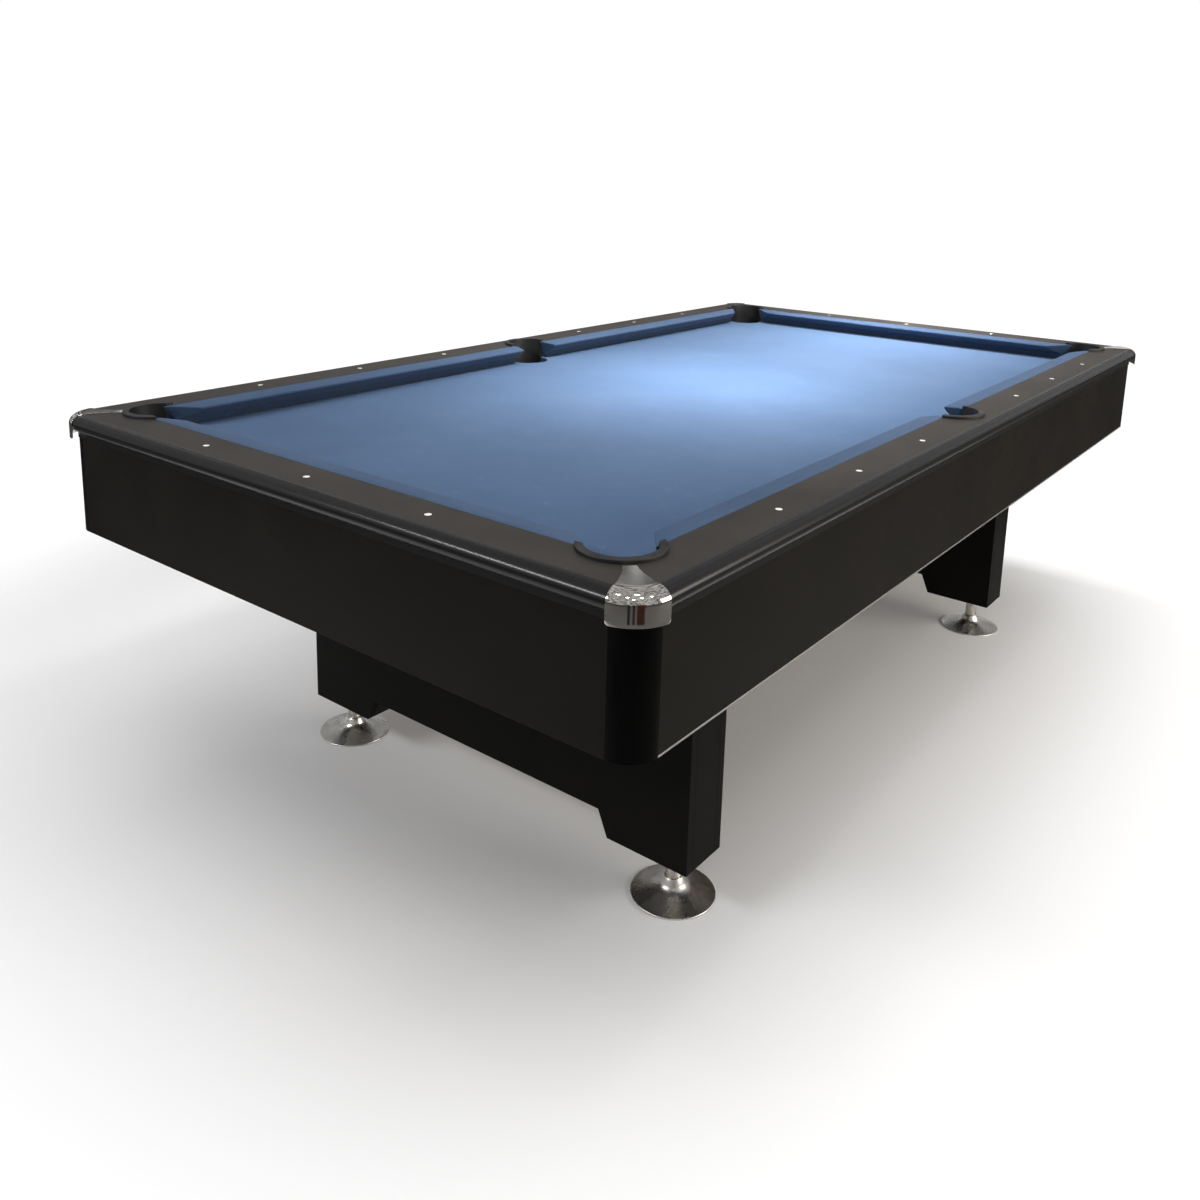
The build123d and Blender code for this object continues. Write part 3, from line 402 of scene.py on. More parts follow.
# The rail cloth is the bed's cloth coloured about 0.7 times as dark: painted shade over the
# cushions.
RAIL_BLUE_PAINTED_SHADE = tint(0.028, 0.054, 0.108), tint(0.046, 0.080, 0.148)
bed_finish = worsted_cloth("bed_cloth_blue", *BED_BLUE)
rail_cloth_painted_shade = worsted_cloth("rail_cloth_blue", *RAIL_BLUE_PAINTED_SHADE)
FINISHES = {
    "slate": slate_stone(),
    "zinc_steel": zinc_steel(),
    "cloth": bed_finish,
    "cushion_rubber": soft_rubber(),
    "feather_strip": feather_strip(),
    "sight_white": sight_pearl(),
    "chrome_cap": bright_metal("corner_cap_chrome", tint(0.78, 0.75, 0.71),
                               tint(0.62, 0.57, 0.50), 0.07, 0.06, 0.02, (1, 1, 0.2), 0.08),
    "rail_laminate": rail_laminate(),
    "pocket_rubber": pocket_rubber(),
    "bucket_plastic": bucket_plastic(),
    "trim_aluminium": bright_metal("trim_brushed_aluminium", tint(0.62, 0.61, 0.60),
                                   tint(0.48, 0.47, 0.45), 0.34, 0.10, 0.14, (0.03, 1, 1)),
    "corner_post_plastic": corner_post_plastic(),
    "apron_laminate": apron_laminate("apron_black_melamine", tint(0.0072, 0.0062, 0.0050),
                                     tint(0.0150, 0.0125, 0.0096), 0.50, 0.10),
    "pedestal_laminate": apron_laminate("pedestal_black_melamine", tint(0.0035, 0.0033, 0.0030),
                                        tint(0.0080, 0.0072, 0.0064), 0.54, 0.07),
    "frame_wood": frame_timber(),
    "cast_foot": bright_metal("foot_plated_casting", tint(0.78, 0.76, 0.73),
                              tint(0.42, 0.40, 0.37), 0.22, 0.24, 0.06, (1, 1, 0.4)),
    "turned_stem": turned_steel(),
}


# ---------------------------------------------------------------------------
# Mesh building
# ---------------------------------------------------------------------------

def piece(name, mesh, slot, body="table", stands_for=(), finish=None):
    made = bpy.data.objects.new(name, mesh)
    bpy.context.scene.collection.objects.link(made)
    mesh.materials.clear()
    mesh.materials.append(finish or FINISHES[slot])
    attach(made, body)
    if stands_for:
        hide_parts(*stands_for)
    return made


def grid_faces(rows, columns, closed=False):
    """Quads over a grid of points stored row after row."""
    last = columns if closed else columns - 1
    return [
        (r * columns + c, r * columns + (c + 1) % columns,
         (r + 1) * columns + (c + 1) % columns, (r + 1) * columns + c)
        for r in range(rows - 1) for c in range(last)]


def shaped(mesh, modifiers, smooth=35.0):
    """The mesh after some modifiers, shaded smooth except over sharp edges."""
    holder = bpy.data.objects.new("holder", mesh)
    bpy.context.scene.collection.objects.link(holder)
    for polygon in mesh.polygons:
        polygon.use_smooth = True
    mesh.set_sharp_from_angle(angle=math.radians(smooth))
    for kind, settings in modifiers:
        added = holder.modifiers.new(kind.lower(), kind)
        for key, value in settings.items():
            setattr(added, key, value)
    graph = bpy.context.evaluated_depsgraph_get()
    made = bpy.data.meshes.new_from_object(holder.evaluated_get(graph), depsgraph=graph)
    bpy.data.objects.remove(holder)
    return made


def welded(node, flat_faces=False):
    """A clean copy of a construction mesh with its doubled points merged."""
    work = bmesh.new()
    work.from_mesh(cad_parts[node].data)
    bmesh.ops.remove_doubles(work, verts=work.verts, dist=1e-6)
    if flat_faces:
        bmesh.ops.dissolve_limit(work, angle_limit=math.radians(1), verts=work.verts,
                                 edges=work.edges)
    work.verts.index_update()
    points = [v.co.copy() for v in work.verts]
    faces = [[v.index for v in f.verts] for f in work.faces]
    work.free()
    clean = bpy.data.meshes.new(node + "_clean")
    clean.from_pydata(points, [], faces)
    return clean


EVEN_NORMALS = ("WEIGHTED_NORMAL", {"keep_sharp": True, "weight": 100})


def rounded_edges(width, segments=2):
    return ("BEVEL", {"width": width, "segments": segments, "limit_method": "ANGLE",
                      "angle_limit": math.radians(40), "harden_normals": True})


def retouch(node, slot, modifiers, flat_faces=False, smooth=35.0, body="table"):
    mesh = shaped(welded(node, flat_faces), modifiers, smooth)
    return piece(node + "_finished", mesh, slot, body, [node])


def stretched_cloth(name, points, faces, uvs, finish, stands_for):
    """A cloth piece from its outer face, given its real thickness on the inside."""
    mesh = bpy.data.meshes.new(name)
    mesh.from_pydata(points, [], faces)
    layer = mesh.uv_layers.new(name="cloth")
    for loop in mesh.loops:
        layer.data[loop.index].uv = uvs[loop.vertex_index]
    mesh = shaped(mesh, [("SOLIDIFY", {"thickness": CLOTH, "offset": -1})], 60)
    return piece(name, mesh, "cloth", "table", stands_for, finish)


# ---------------------------------------------------------------------------
# Bed cloth: flat over the slate, rolled down into each pocket
# ---------------------------------------------------------------------------

ROLL = 0.0025                 # radius of the cloth's fold over a pocket's edge
ROLL_START = 0.0012           # flat cloth kept between the fold and the outline
ROLL_DROP = 0.024             # how far the cloth goes down into a pocket
ROLL_STEPS, WALL_STEPS = 5, 3
SAG, SAG_TURN = 0.0006, 1.9   # unevenness of the cloth's lower edge
POCKET_STEPS = 28


def pocket_places():
    """Centre, radius and outward angle of the six pockets."""
    offset, radius = CORNER_POCKET
    places = [((sx * (HALF_LENGTH + offset), sy * (HALF_WIDTH + offset)), radius,
               math.atan2(sy, sx)) for sx, sy in ((1, 1), (-1, 1), (-1, -1), (1, -1))]
    offset, radius = SIDE_POCKET
    places += [((0, side * (HALF_WIDTH + offset)), radius, side * math.pi / 2)
               for side in (1, -1)]
    return sorted(places, key=lambda p: math.atan2(p[0][1], p[0][0]) % (2 * math.pi))


def bed_cloth():
    outline, arcs = [], []
    for (cx, cy), radius, out in pocket_places():
        lip = radius + CLOTH_GAP + ROLL + ROLL_START

        def at(angle, reach):
            return (cx + reach * math.cos(angle), cy + reach * math.sin(angle))

        def edge(side):
            """Where the slot meets the slate's edge."""
            x, y = at(out + side * math.pi / 2, radius + SLATE_SHOULDER)
            dx, dy = math.cos(out), math.sin(out)
            runs = [(limit - abs(p)) / abs(d) for limit, p, d in
                    ((SLATE_X, x, dx), (SLATE_Y, y, dy)) if abs(d) > 0.1]
            run = min(runs)
            return (x + dx * run, y + dy * run)

        outline.append(edge(-1))
        outline.append(at(out - math.pi / 2, radius + SLATE_SHOULDER))
        first = len(outline)
        for step in range(POCKET_STEPS + 1):
            angle = out - math.pi / 2 - math.pi * step / POCKET_STEPS
            outline.append(at(angle, lip))
        arcs.append((first, (cx, cy), radius, out))
        outline.append(at(out + math.pi / 2, radius + SLATE_SHOULDER))
        outline.append(edge(1))
    count = len(outline)
    edges = [(i, (i + 1) % count) for i in range(count)]
    flat = delaunay_2d_cdt([Vector(p) for p in outline], edges, [], 1, 1e-7)
    points = [(v.x, v.y, BED) for v in flat[0]]
    faces = [list(f) for f in flat[2]]
    where = {}
    for new, old in enumerate(flat[3]):
        for source in old:
            where[source] = new
    rings = [(ROLL, 0.0)]
    rings += [(ROLL * (1 - math.sin(a)), ROLL * (1 - math.cos(a)))
              for a in (math.pi / 2 * k / ROLL_STEPS for k in range(1, ROLL_STEPS + 1))]
    rings += [(0.0, ROLL + (ROLL_DROP - ROLL) * k / WALL_STEPS)
              for k in range(1, WALL_STEPS + 1)]
    for first, (cx, cy), radius, out in arcs:
        last = [where[first + step] for step in range(POCKET_STEPS + 1)]
        for reach, drop in rings:
            row = []
            for step in range(POCKET_STEPS + 1):
                angle = out - math.pi / 2 - math.pi * step / POCKET_STEPS
                sag = SAG * math.sin(step * SAG_TURN) * drop / ROLL_DROP
                r = radius + CLOTH_GAP + reach + sag
                row.append(len(points))
                points.append((cx + r * math.cos(angle), cy + r * math.sin(angle), BED - drop))
            faces += [(last[i], last[i + 1], row[i + 1], row[i]) for i in range(POCKET_STEPS)]
            last = row
    mesh = bpy.data.meshes.new("bed_faces")
    mesh.from_pydata(points, [], faces)
    work = bmesh.new()
    work.from_mesh(mesh)
    bmesh.ops.recalc_face_normals(work, faces=work.faces)
    top = max(work.faces, key=lambda f: f.calc_area())
    if top.normal.z < 0:
        bmesh.ops.reverse_faces(work, faces=work.faces)
    faces = [[v.index for v in f.verts] for f in work.faces]
    work.free()
    uvs = [(p[0], p[1] + BED - p[2]) for p in points]
    made = stretched_cloth("bed_cloth_sheet", points, faces, uvs, bed_finish, ["bed_cloth"])
    return made


# ---------------------------------------------------------------------------
# Rail cloths: over the cushion, round its nose and folded over each facing
# ---------------------------------------------------------------------------

TUCK = 0.0445                 # nose line out to where the cloth is tucked in
FOLD = 0.0022                 # radius of the cloth's fold over a facing
FOLD_STEPS = 4
RAIL_STEPS = 14
CLOTH_FOOT = 0.0003           # the cloth's lowest edge above the bed
FACING_STAND = 0.0008         # the folded cloth in front of the facing
CORNER_RUN = 0.013            # flat cloth from the last line to the folded corner


def nose_outline():
    """The cloth's outer line across a rail: (outward, height above the bed)."""
    line = [(TUCK - 0.0001, 0.0424), (TUCK - 0.0002, 0.0434), (TUCK - 0.0008, 0.04385),
            (TUCK - 0.0018, 0.0440), (0.036, 0.0440), (0.032, 0.04395), (0.0285, 0.04358),
            (0.018, 0.04225), (0.0075, 0.04092)]
    centre, radius = (0.0033, 0.0371), 0.0033
    for turn in (100, 122, 144, 166, 188, 208, 226):
        angle = math.radians(turn)
        line.append((centre[0] + radius * math.cos(angle), centre[1] + radius * math.sin(angle)))
    line += [(0.0042, 0.0314), (0.0114, 0.0246), (0.0210, 0.0200), (0.0302, 0.0156),
             (0.0311, 0.0148), (0.0311, CLOTH_FOOT)]
    return line


def facing(reach, kind):
    """A point and normal of the pocket face at a rail's end, as built."""
    if kind == "corner":
        start = reach - CORNER_MOUTH * DIAGONAL
        flat = (math.sin(CORNER_FACING), -math.cos(CORNER_FACING))
    else:
        start = SIDE_MOUTH / 2
        flat = (-math.sin(SIDE_FACING), -math.cos(SIDE_FACING))
    lean = math.cos(FACING_DRAFT)
    return start, (flat[0] * lean, flat[1] * lean, -math.sin(FACING_DRAFT))


def on_facing(reach, kind, u, h):
    """Where the cloth stands along the rail, at a point of its outline."""
    start, (nx, ny, nz) = facing(reach, kind)
    return start + (FACING_STAND - ny * u - nz * (h - NOSE_HEIGHT)) / nx


def rail_cloth(name, reach, kinds, place):
    """kinds gives the pocket at the low and high end; place turns (x, out) into the
    table's x and y."""
    line = nose_outline()
    inward = []
    for i, (u, h) in enumerate(line):
        before, after = line[max(i - 1, 0)], line[min(i + 1, len(line) - 1)]
        du, dh = after[0] - before[0], after[1] - before[1]
        size = math.hypot(du, dh)
        inward.append((-dh / size, du / size))
    low_kind, high_kind = kinds

    def end_x(kind, high, u, h):
        x = on_facing(reach, kind, u, h)
        return x if high or kind == "side" else -x

    def rounded(kind, high):
        """Section points close to an end: moved back from it, then folded over it."""
        rows = []
        sign = 1 if high else -1
        for k in range(FOLD_STEPS + 1):
            turn = math.pi / 2 * k / FOLD_STEPS
            back, inset = FOLD * (1 - math.sin(turn)), FOLD * (1 - math.cos(turn))
            row = []
            for (u, h), (iu, ih) in zip(line, inward):
                pu, ph = u + iu * inset, max(h + ih * inset, CLOTH_FOOT)
                row.append((end_x(kind, high, pu, ph) - sign * back, pu, ph))
            rows.append(row)
        return rows

    low = rounded(low_kind, False)[::-1]
    high = rounded(high_kind, True)
    middle = []
    for k in range(1, RAIL_STEPS):
        share = k / RAIL_STEPS
        middle.append([
            (a[0] * (1 - share) + b[0] * share, u, h)
            for a, b, (u, h) in zip(low[-1], high[0], line)])
    sections = low + middle + high
    columns = len(line)
    run = [0.0]
    for a, b in zip(line, line[1:]):
        run.append(run[-1] + math.hypot(b[0] - a[0], b[1] - a[1]))
    points, uvs = [], []
    for row in sections:
        for (x, u, h), along in zip(row, run):
            px, py = place(x, u)
            points.append((px, py, BED + h))
            uvs.append((along, x))
    faces = grid_faces(len(sections), columns)
    for row, kind, high in ((0, low_kind, False), (len(sections) - 1, high_kind, True)):
        u, h = TUCK - CLOTH_FOOT, CLOTH_FOOT
        x = end_x(kind, high, u, h)
        px, py = place(x, u)
        corner = len(points)
        points.append((px, py, BED + h))
        uvs.append((run[-1] + CORNER_RUN, x))
        ring = [row * columns + c for c in range(columns)]
        faces.append(ring[::-1] + [corner] if not high else ring + [corner])
    mesh = bpy.data.meshes.new("rail_faces")
    mesh.from_pydata(points, [], faces)
    work = bmesh.new()
    work.from_mesh(mesh)
    bmesh.ops.recalc_face_normals(work, faces=work.faces)
    work.faces.ensure_lookup_table()
    top = max(work.faces, key=lambda f: f.normal.z * f.calc_area())
    low_face = min(work.faces, key=lambda f: f.normal.z * f.calc_area())
    if -low_face.normal.z * low_face.calc_area() > top.normal.z * top.calc_area():
        bmesh.ops.reverse_faces(work, faces=work.faces)
    faces = [[v.index for v in f.verts] for f in work.faces]
    work.free()
    # This sheet's darker blue is painted shade.
    made = stretched_cloth(name + "_cloth_sheet", points, faces, uvs, rail_cloth_painted_shade,
                           ["rail_cloths"])
    length = max(s[0][0] for s in sections) - min(s[0][0] for s in sections)
    return made


def rail_cloths():
    ends = ("corner", "corner")
    rail_cloth("foot", HALF_WIDTH, ends, lambda x, u: (HALF_LENGTH + u, -x))
    rail_cloth("head", HALF_WIDTH, ends, lambda x, u: (-HALF_LENGTH - u, -x))
    long_ends = ("side", "corner")
    for side_name, side in (("left", 1), ("right", -1)):
        for end_name, end in (("foot", 1), ("head", -1)):
            rail_cloth(f"{side_name}_{end_name}", HALF_LENGTH, long_ends,
                       lambda x, u, e=end, s=side: (e * x, s * (HALF_WIDTH + u)))


# ---------------------------------------------------------------------------
# Corner caps
# ---------------------------------------------------------------------------

def cap_half_width(d):
    """Half width of the cap's flat neck at a distance out along the corner's diagonal."""
    # distance out, half width, slope
    knots = ((0.0786, CAP_NECK, 0.10), (0.1131, 0.0146, 0.30), (0.1455, 0.0267, 0.50))
    for (d0, w0, m0), (d1, w1, m1) in zip(knots, knots[1:]):
        if d <= d1 or d1 == knots[-1][0]:
            h = d1 - d0
            t = (d - d0) / h
            return ((2 * t ** 3 - 3 * t ** 2 + 1) * w0 + (t ** 3 - 2 * t ** 2 + t) * h * m0
                    + (3 * t ** 2 - 2 * t ** 3) * w1 + (t ** 3 - t ** 2) * h * m1)


def rounded_corner(low, reach):
    """Height of the skirt's lower edge at a distance in from its end."""
    inside = max(0.0, CAP_CORNER - reach)
    return low + CAP_CORNER - math.sqrt(CAP_CORNER ** 2 - inside ** 2)


CAP_COLUMNS = 33
NECK_STEPS, ROLL_OVER_STEPS, SKIRT_STEPS = 14, 14, 4


def cap_points():
    """Outer skin of one cap, rows from the pocket collar out and down the skirt, as
    (along the diagonal, across it, height)."""
    pocket, centre = CORNER_POCKET[0] / DIAGONAL, CORNER_CENTRE / DIAGONAL
    shares = [math.sin(math.pi / 2 * (2 * c / (CAP_COLUMNS - 1) - 1))
              for c in range(CAP_COLUMNS)]
    lean = math.asin(CAP_NECK / COLLAR_REACH)

    def along(a, b, t):
        return (a[0] * (1 - t) + b[0] * t, a[1] * (1 - t) + b[1] * t)

    def arc(middle, radius, angle):
        return [(middle + radius * math.cos(angle * v), radius * math.sin(angle * v))
                for v in shares]

    start = arc(pocket, COLLAR_REACH, lean)
    finish = arc(centre, FLAT_RADIUS, CAP_SPREAD)
    rows = []
    top = RAIL_TOP + CAP_SKIN
    for k in range(NECK_STEPS + 1):
        t = k / NECK_STEPS
        right, left = along(start[0], finish[0], t), along(start[-1], finish[-1], t)
        half = cap_half_width(right[0]) if k else CAP_NECK
        row = []
        for v, a, b in zip(shares, start, finish):
            s = (v + 1) / 2
            d, w = along(a, b, t)
            straight = right[1] * (1 - s) + left[1] * s
            row.append((d, half * v + w - straight, top))
        rows.append(row)
    run = NOSING_OUT - FLAT_EDGE + CAP_SKIN
    fall = NOSING_MIDDLE + CAP_SKIN
    for k in range(1, ROLL_OVER_STEPS + 1):
        turn = math.pi / 2 * k / ROLL_OVER_STEPS
        z = top - fall * (1 - math.cos(turn))
        rows.append([(d, w, z) for d, w in
                     arc(centre, FLAT_RADIUS + run * math.sin(turn), CAP_SPREAD)])
    reach = FLAT_RADIUS + run
    low = RAIL_TOP - CAP_SKIRT
    for k in range(1, SKIRT_STEPS + 1):
        share = k / SKIRT_STEPS
        z = (top - fall) * (1 - share) + low * share
        rows.append([(d, w, max(z, rounded_corner(low, reach * CAP_SPREAD * (1 - abs(v)))))
                     for v, (d, w) in zip(shares, arc(centre, reach, CAP_SPREAD))])
    return rows


def corner_caps():
    rows = cap_points()
    points, faces = [], []
    for sx in (1, -1):
        for sy in (1, -1):
            first = len(points)
            for row in rows:
                for d, w, z in row:
                    x = HALF_LENGTH + (d - w) * DIAGONAL
                    y = HALF_WIDTH + (d + w) * DIAGONAL
                    points.append((sx * x, sy * y, z))
            for face in grid_faces(len(rows), CAP_COLUMNS):
                face = [first + i for i in face]
                faces.append(face[::-1] if sx * sy > 0 else face)
    mesh = bpy.data.meshes.new("cap_faces")
    mesh.from_pydata(points, [], faces)
    mesh = shaped(mesh, [
        ("SOLIDIFY", {"thickness": CAP_SKIN - 0.0002, "offset": -1}),
        ("BEVEL", {"width": 0.0005, "segments": 2, "limit_method": "ANGLE",
                   "angle_limit": math.radians(60)})], 70)
    return piece("corner_caps_plated", mesh, "chrome_cap", "table", ["corner_caps"])


# ---------------------------------------------------------------------------
# Levelling feet
# ---------------------------------------------------------------------------

AROUND = 48                   # points round a stem
PER_TURN = 8                  # rows to each turn of the thread
THREAD_DEPTH = 0.0017
SPIGOT_RADIUS, SPIGOT_TOP = 0.0090, 0.0358
CHAMFER = 0.0002
SPANNER_CUT = 0.0015          # depth of each spanner flat


def threaded_stem(node):
    """Spigot, shank with two spanner flats, and a thread of the joint's own pitch."""
    low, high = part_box(node)
    x, y = (low.x + high.x) / 2, (low.y + high.y) / 2
    shank = (high.x - low.x) / 2
    points = []
    rows = [(SPIGOT_RADIUS - CHAMFER, STEM_LOW), (SPIGOT_RADIUS, STEM_LOW + 0.0004),
            (SPIGOT_RADIUS, SPIGOT_TOP), (shank - 0.0006, 0.0361), (shank, 0.0368)]
    rows += [(shank, LEG_BOTTOM - drop)
             for drop in (0.0230, 0.0222, 0.0218, 0.0082, 0.0078, 0.0010)]
    rows += [(shank - 0.0008, LEG_BOTTOM - CHAMFER)]
    flat = shank - SPANNER_CUT
    for radius, z in rows:
        cut = LEG_BOTTOM - 0.0220 < z < LEG_BOTTOM - 0.0080
        for k in range(AROUND):
            angle = 2 * math.pi * k / AROUND
            px, py = radius * math.cos(angle), radius * math.sin(angle)
            if cut:
                px = max(-flat, min(flat, px))
            points.append((x + px, y + py, z))
    length = STEM_TOP - LEG_BOTTOM
    turns = int(length / THREAD_PITCH * PER_TURN)
    for step in range(turns + 1):
        z = LEG_BOTTOM - 0.0001 + length * step / turns
        fade = min(1.0, (STEM_TOP - z) / 0.002 + 0.15)
        for k in range(AROUND):
            phase = (z / THREAD_PITCH - k / AROUND) % 1.0
            height = min(1.0, max(0.0, 1.25 - abs(phase - 0.5) * 3.2))
            radius = THREAD_RADIUS - THREAD_DEPTH * (1 - height) - (1 - fade) * 0.0012
            angle = 2 * math.pi * k / AROUND
            points.append((x + radius * math.cos(angle), y + radius * math.sin(angle), z))
    count = len(rows) + turns + 1
    faces = grid_faces(count, AROUND, True)
    faces.append(list(range(AROUND))[::-1])
    faces.append([(count - 1) * AROUND + k for k in range(AROUND)])
    mesh = bpy.data.meshes.new(node + "_turned")
    mesh.from_pydata(points, [], faces)
    return piece(node + "_threaded", shaped(mesh, [], 30), "turned_stem",
                 node.replace("_leveller", ""), [node])


def levelling_feet():
    for end in ("head", "foot"):
        for side in ("left", "right"):
            base = f"{end}_{side}_leveller_base"
            retouch(base, "cast_foot", [EVEN_NORMALS], smooth=40, body=f"{end}_{side}_base")
            threaded_stem(f"{end}_{side}_leveller_stem")


# ---------------------------------------------------------------------------
# Round studs set in rows, by geometry nodes: rail sights and bracket screws
# ---------------------------------------------------------------------------

def stud_tree():
    tree = bpy.data.node_groups.new("rows_of_studs", "GeometryNodeTree")
    sockets = tree.interface
    sockets.new_socket("Places", in_out="INPUT", socket_type="NodeSocketGeometry")
    for name, value in (("Radius", 0.005), ("Height", 0.002), ("Dome", 0.0003)):
        size = sockets.new_socket(name, in_out="INPUT", socket_type="NodeSocketFloat")
        size.default_value = value
    sockets.new_socket("Finish", in_out="INPUT", socket_type="NodeSocketMaterial")
    sockets.new_socket("Studs", in_out="OUTPUT", socket_type="NodeSocketGeometry")

    def join(socket, value):
        if isinstance(value, bpy.types.NodeSocket):
            tree.links.new(value, socket)
        else:
            socket.default_value = value

    def node(kind, settings=None, **inputs):
        made = tree.nodes.new(kind)
        for key, value in (settings or {}).items():
            setattr(made, key, value)
        for name, value in inputs.items():
            join(made.inputs[name.replace("_", " ")], value)
        return made

    def maths(operation, a, b):
        made = node("ShaderNodeMath", {"operation": operation})
        for socket, value in zip(made.inputs, (a, b)):
            join(socket, value)
        return made.outputs[0]

    given = node("NodeGroupInput").outputs
    disc = node("GeometryNodeMeshCylinder", {"fill_type": "TRIANGLE_FAN"}, Vertices=28,
                Side_Segments=1, Fill_Segments=4, Radius=given["Radius"], Depth=given["Height"])
    spot = node("ShaderNodeSeparateXYZ", Vector=node("GeometryNodeInputPosition").outputs[0])
    x, y, z = spot.outputs
    squares = maths("ADD", maths("MULTIPLY", x, x), maths("MULTIPLY", y, y))
    share = maths("DIVIDE", maths("SQRT", squares, 0.0), given["Radius"])
    swell = maths("MULTIPLY", maths("SUBTRACT", 1.0, maths("MULTIPLY", share, share)),
                  given["Dome"])
    lifted = maths("SUBTRACT", maths("MULTIPLY", swell, maths("GREATER_THAN", z, 0.0)),
                   maths("MULTIPLY", given["Height"], 0.5))
    domed = node("GeometryNodeSetPosition", Geometry=disc.outputs["Mesh"],
                 Offset=node("ShaderNodeCombineXYZ", Z=lifted).outputs[0])
    facing_way = node("GeometryNodeInputNamedAttribute", {"data_type": "FLOAT_VECTOR"},
                      Name="facing")
    turned = node("FunctionNodeAlignRotationToVector", {"axis": "Z"}, Vector=facing_way.outputs[0])
    placed = node("GeometryNodeInstanceOnPoints", Points=given["Places"],
                  Instance=domed.outputs[0], Rotation=turned.outputs[0])
    real = node("GeometryNodeRealizeInstances", Geometry=placed.outputs[0])
    painted = node("GeometryNodeSetMaterial", Geometry=real.outputs[0], Material=given["Finish"])
    end = node("NodeGroupOutput")
    tree.links.new(painted.outputs[0], end.inputs["Studs"])
    return tree


STUDS = stud_tree()


def studs(name, places, facings, slot, stands_for=(), **sizes):
    seeds = bpy.data.meshes.new(name + "_places")
    seeds.from_pydata(places, [], [])
    attribute = seeds.attributes.new("facing", "FLOAT_VECTOR", "POINT")
    for item, way in zip(attribute.data, facings):
        item.vector = way
    holder = bpy.data.objects.new("holder", seeds)
    bpy.context.scene.collection.objects.link(holder)
    modifier = holder.modifiers.new("rows", "NODES")
    modifier.node_group = STUDS
    keys = {s.name: s.identifier for s in STUDS.interface.items_tree if s.in_out == "INPUT"}
    for size, value in sizes.items():
        modifier[keys[size]] = value
    modifier[keys["Finish"]] = FINISHES[slot]
    graph = bpy.context.evaluated_depsgraph_get()
    mesh = bpy.data.meshes.new_from_object(holder.evaluated_get(graph), depsgraph=graph)
    bpy.data.objects.remove(holder)
    mesh = shaped(mesh, [], 40)
    return piece(name, mesh, slot, "table", stands_for)


def sights():
    setback, spacing = 0.088, HALF_LENGTH / 4
    places = []
    for end in (1, -1):
        places += [(end * (HALF_LENGTH + setback), spacing * n, RAIL_TOP) for n in (-1, 0, 1)]
        places += [(end * spacing * n, side * (HALF_WIDTH + setback), RAIL_TOP)
                   for n in (1, 2, 3) for side in (1, -1)]
    studs("rail_sights", places, [(0, 0, 1)] * len(places), "sight_white", ["sights"],
          Radius=0.0055, Height=0.002, Dome=0.00025)


def bracket_screws():
    """Two pan-head screws through the hanging leg of each apron bracket."""
    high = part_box("apron_brackets")[1]
    inset, drop, step, leg = 0.003, 0.034, 0.018, 0.003
    z = BED - drop
    places, facings = [], []
    for side in (1, -1):
        for centre in (-0.93, -0.31, 0.31, 0.93):
            for dx in (-step, step):
                places.append((centre + dx, side * (high.y - leg - inset / 2), z))
                facings.append((0, -side, 0))
        for centre in (-0.31, 0.31):
            for dy in (-step, step):
                places.append((side * (high.x - leg - inset / 2), centre + dy, z))
                facings.append((-side, 0, 0))
    studs("bracket_screws", places, facings, "zinc_steel",
          Radius=0.0042, Height=0.003, Dome=0.0012)


# ---------------------------------------------------------------------------
# Retouched construction pieces
# ---------------------------------------------------------------------------

def cabinet():
    for side in ("left", "right", "head", "foot"):
        retouch(side + "_apron", "apron_laminate", [rounded_edges(0.0008)], True)
    retouch("apron_trims", "trim_aluminium", [rounded_edges(0.0004)], True)
    retouch("corner_posts", "corner_post_plastic", [EVEN_NORMALS], smooth=30)
    for end in ("head", "foot"):
        for part in ("outer_panel", "inner_panel", "side_panels"):
            retouch(f"{end}_pedestal_{part}", "pedestal_laminate", [rounded_edges(0.0007)], True)


def rails_and_pockets():
    for rail in ("head", "foot", "left_head", "left_foot", "right_head", "right_foot"):
        retouch(rail + "_rail", "rail_laminate", [EVEN_NORMALS], smooth=32)
    for place in ("left_head", "left_foot", "right_head", "right_foot", "left_side", "right_side"):
        retouch(place + "_pocket_liner", "pocket_rubber", [EVEN_NORMALS], smooth=40)
    retouch("pocket_buckets", "bucket_plastic", [EVEN_NORMALS], smooth=40)


def finish_construction():
    """Every construction piece that stays takes the finish of its slot."""
    stained = stained_timber()
    for name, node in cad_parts.items():
        for place in node.material_slots:
            slot = place.material.name.split(".")[0]
            place.material = stained if "pedestal_blocks" in name else FINISHES[slot]


# ---------------------------------------------------------------------------
# Camera, lights and floor
# ---------------------------------------------------------------------------

VIEW_TURNS = (-52.311, 11.478, 1.462)     # azimuth, elevation, roll, in degrees
VIEW_PLACE = (-2.2424, -1.3861, 1.2953)
SENSOR = 36.0


def camera():
    azimuth, elevation, roll = (math.radians(a) for a in VIEW_TURNS)
    focal, centre_y, frame_size = 1086.16, 381.44, 1200.0
    back = Vector((math.sin(azimuth) * math.cos(elevation),
                   -math.cos(azimuth) * math.cos(elevation), math.sin(elevation)))
    right = (-back).cross(Vector((0, 0, 1))).normalized()
    up = right.cross(-back)
    c, s = math.cos(roll), math.sin(roll)
    side, top = c * right + s * up, c * up - s * right
    data = bpy.data.cameras.new("view")
    data.sensor_width = SENSOR
    data.lens = focal / frame_size * SENSOR
    data.shift_y = (centre_y - frame_size / 2) / frame_size
    data.clip_start, data.clip_end = 0.05, 200.0
    made = bpy.data.objects.new("view", data)
    bpy.context.scene.collection.objects.link(made)
    made.matrix_world = Matrix((*zip(side, top, back, VIEW_PLACE), (0, 0, 0, 1)))
    bpy.context.scene.camera = made


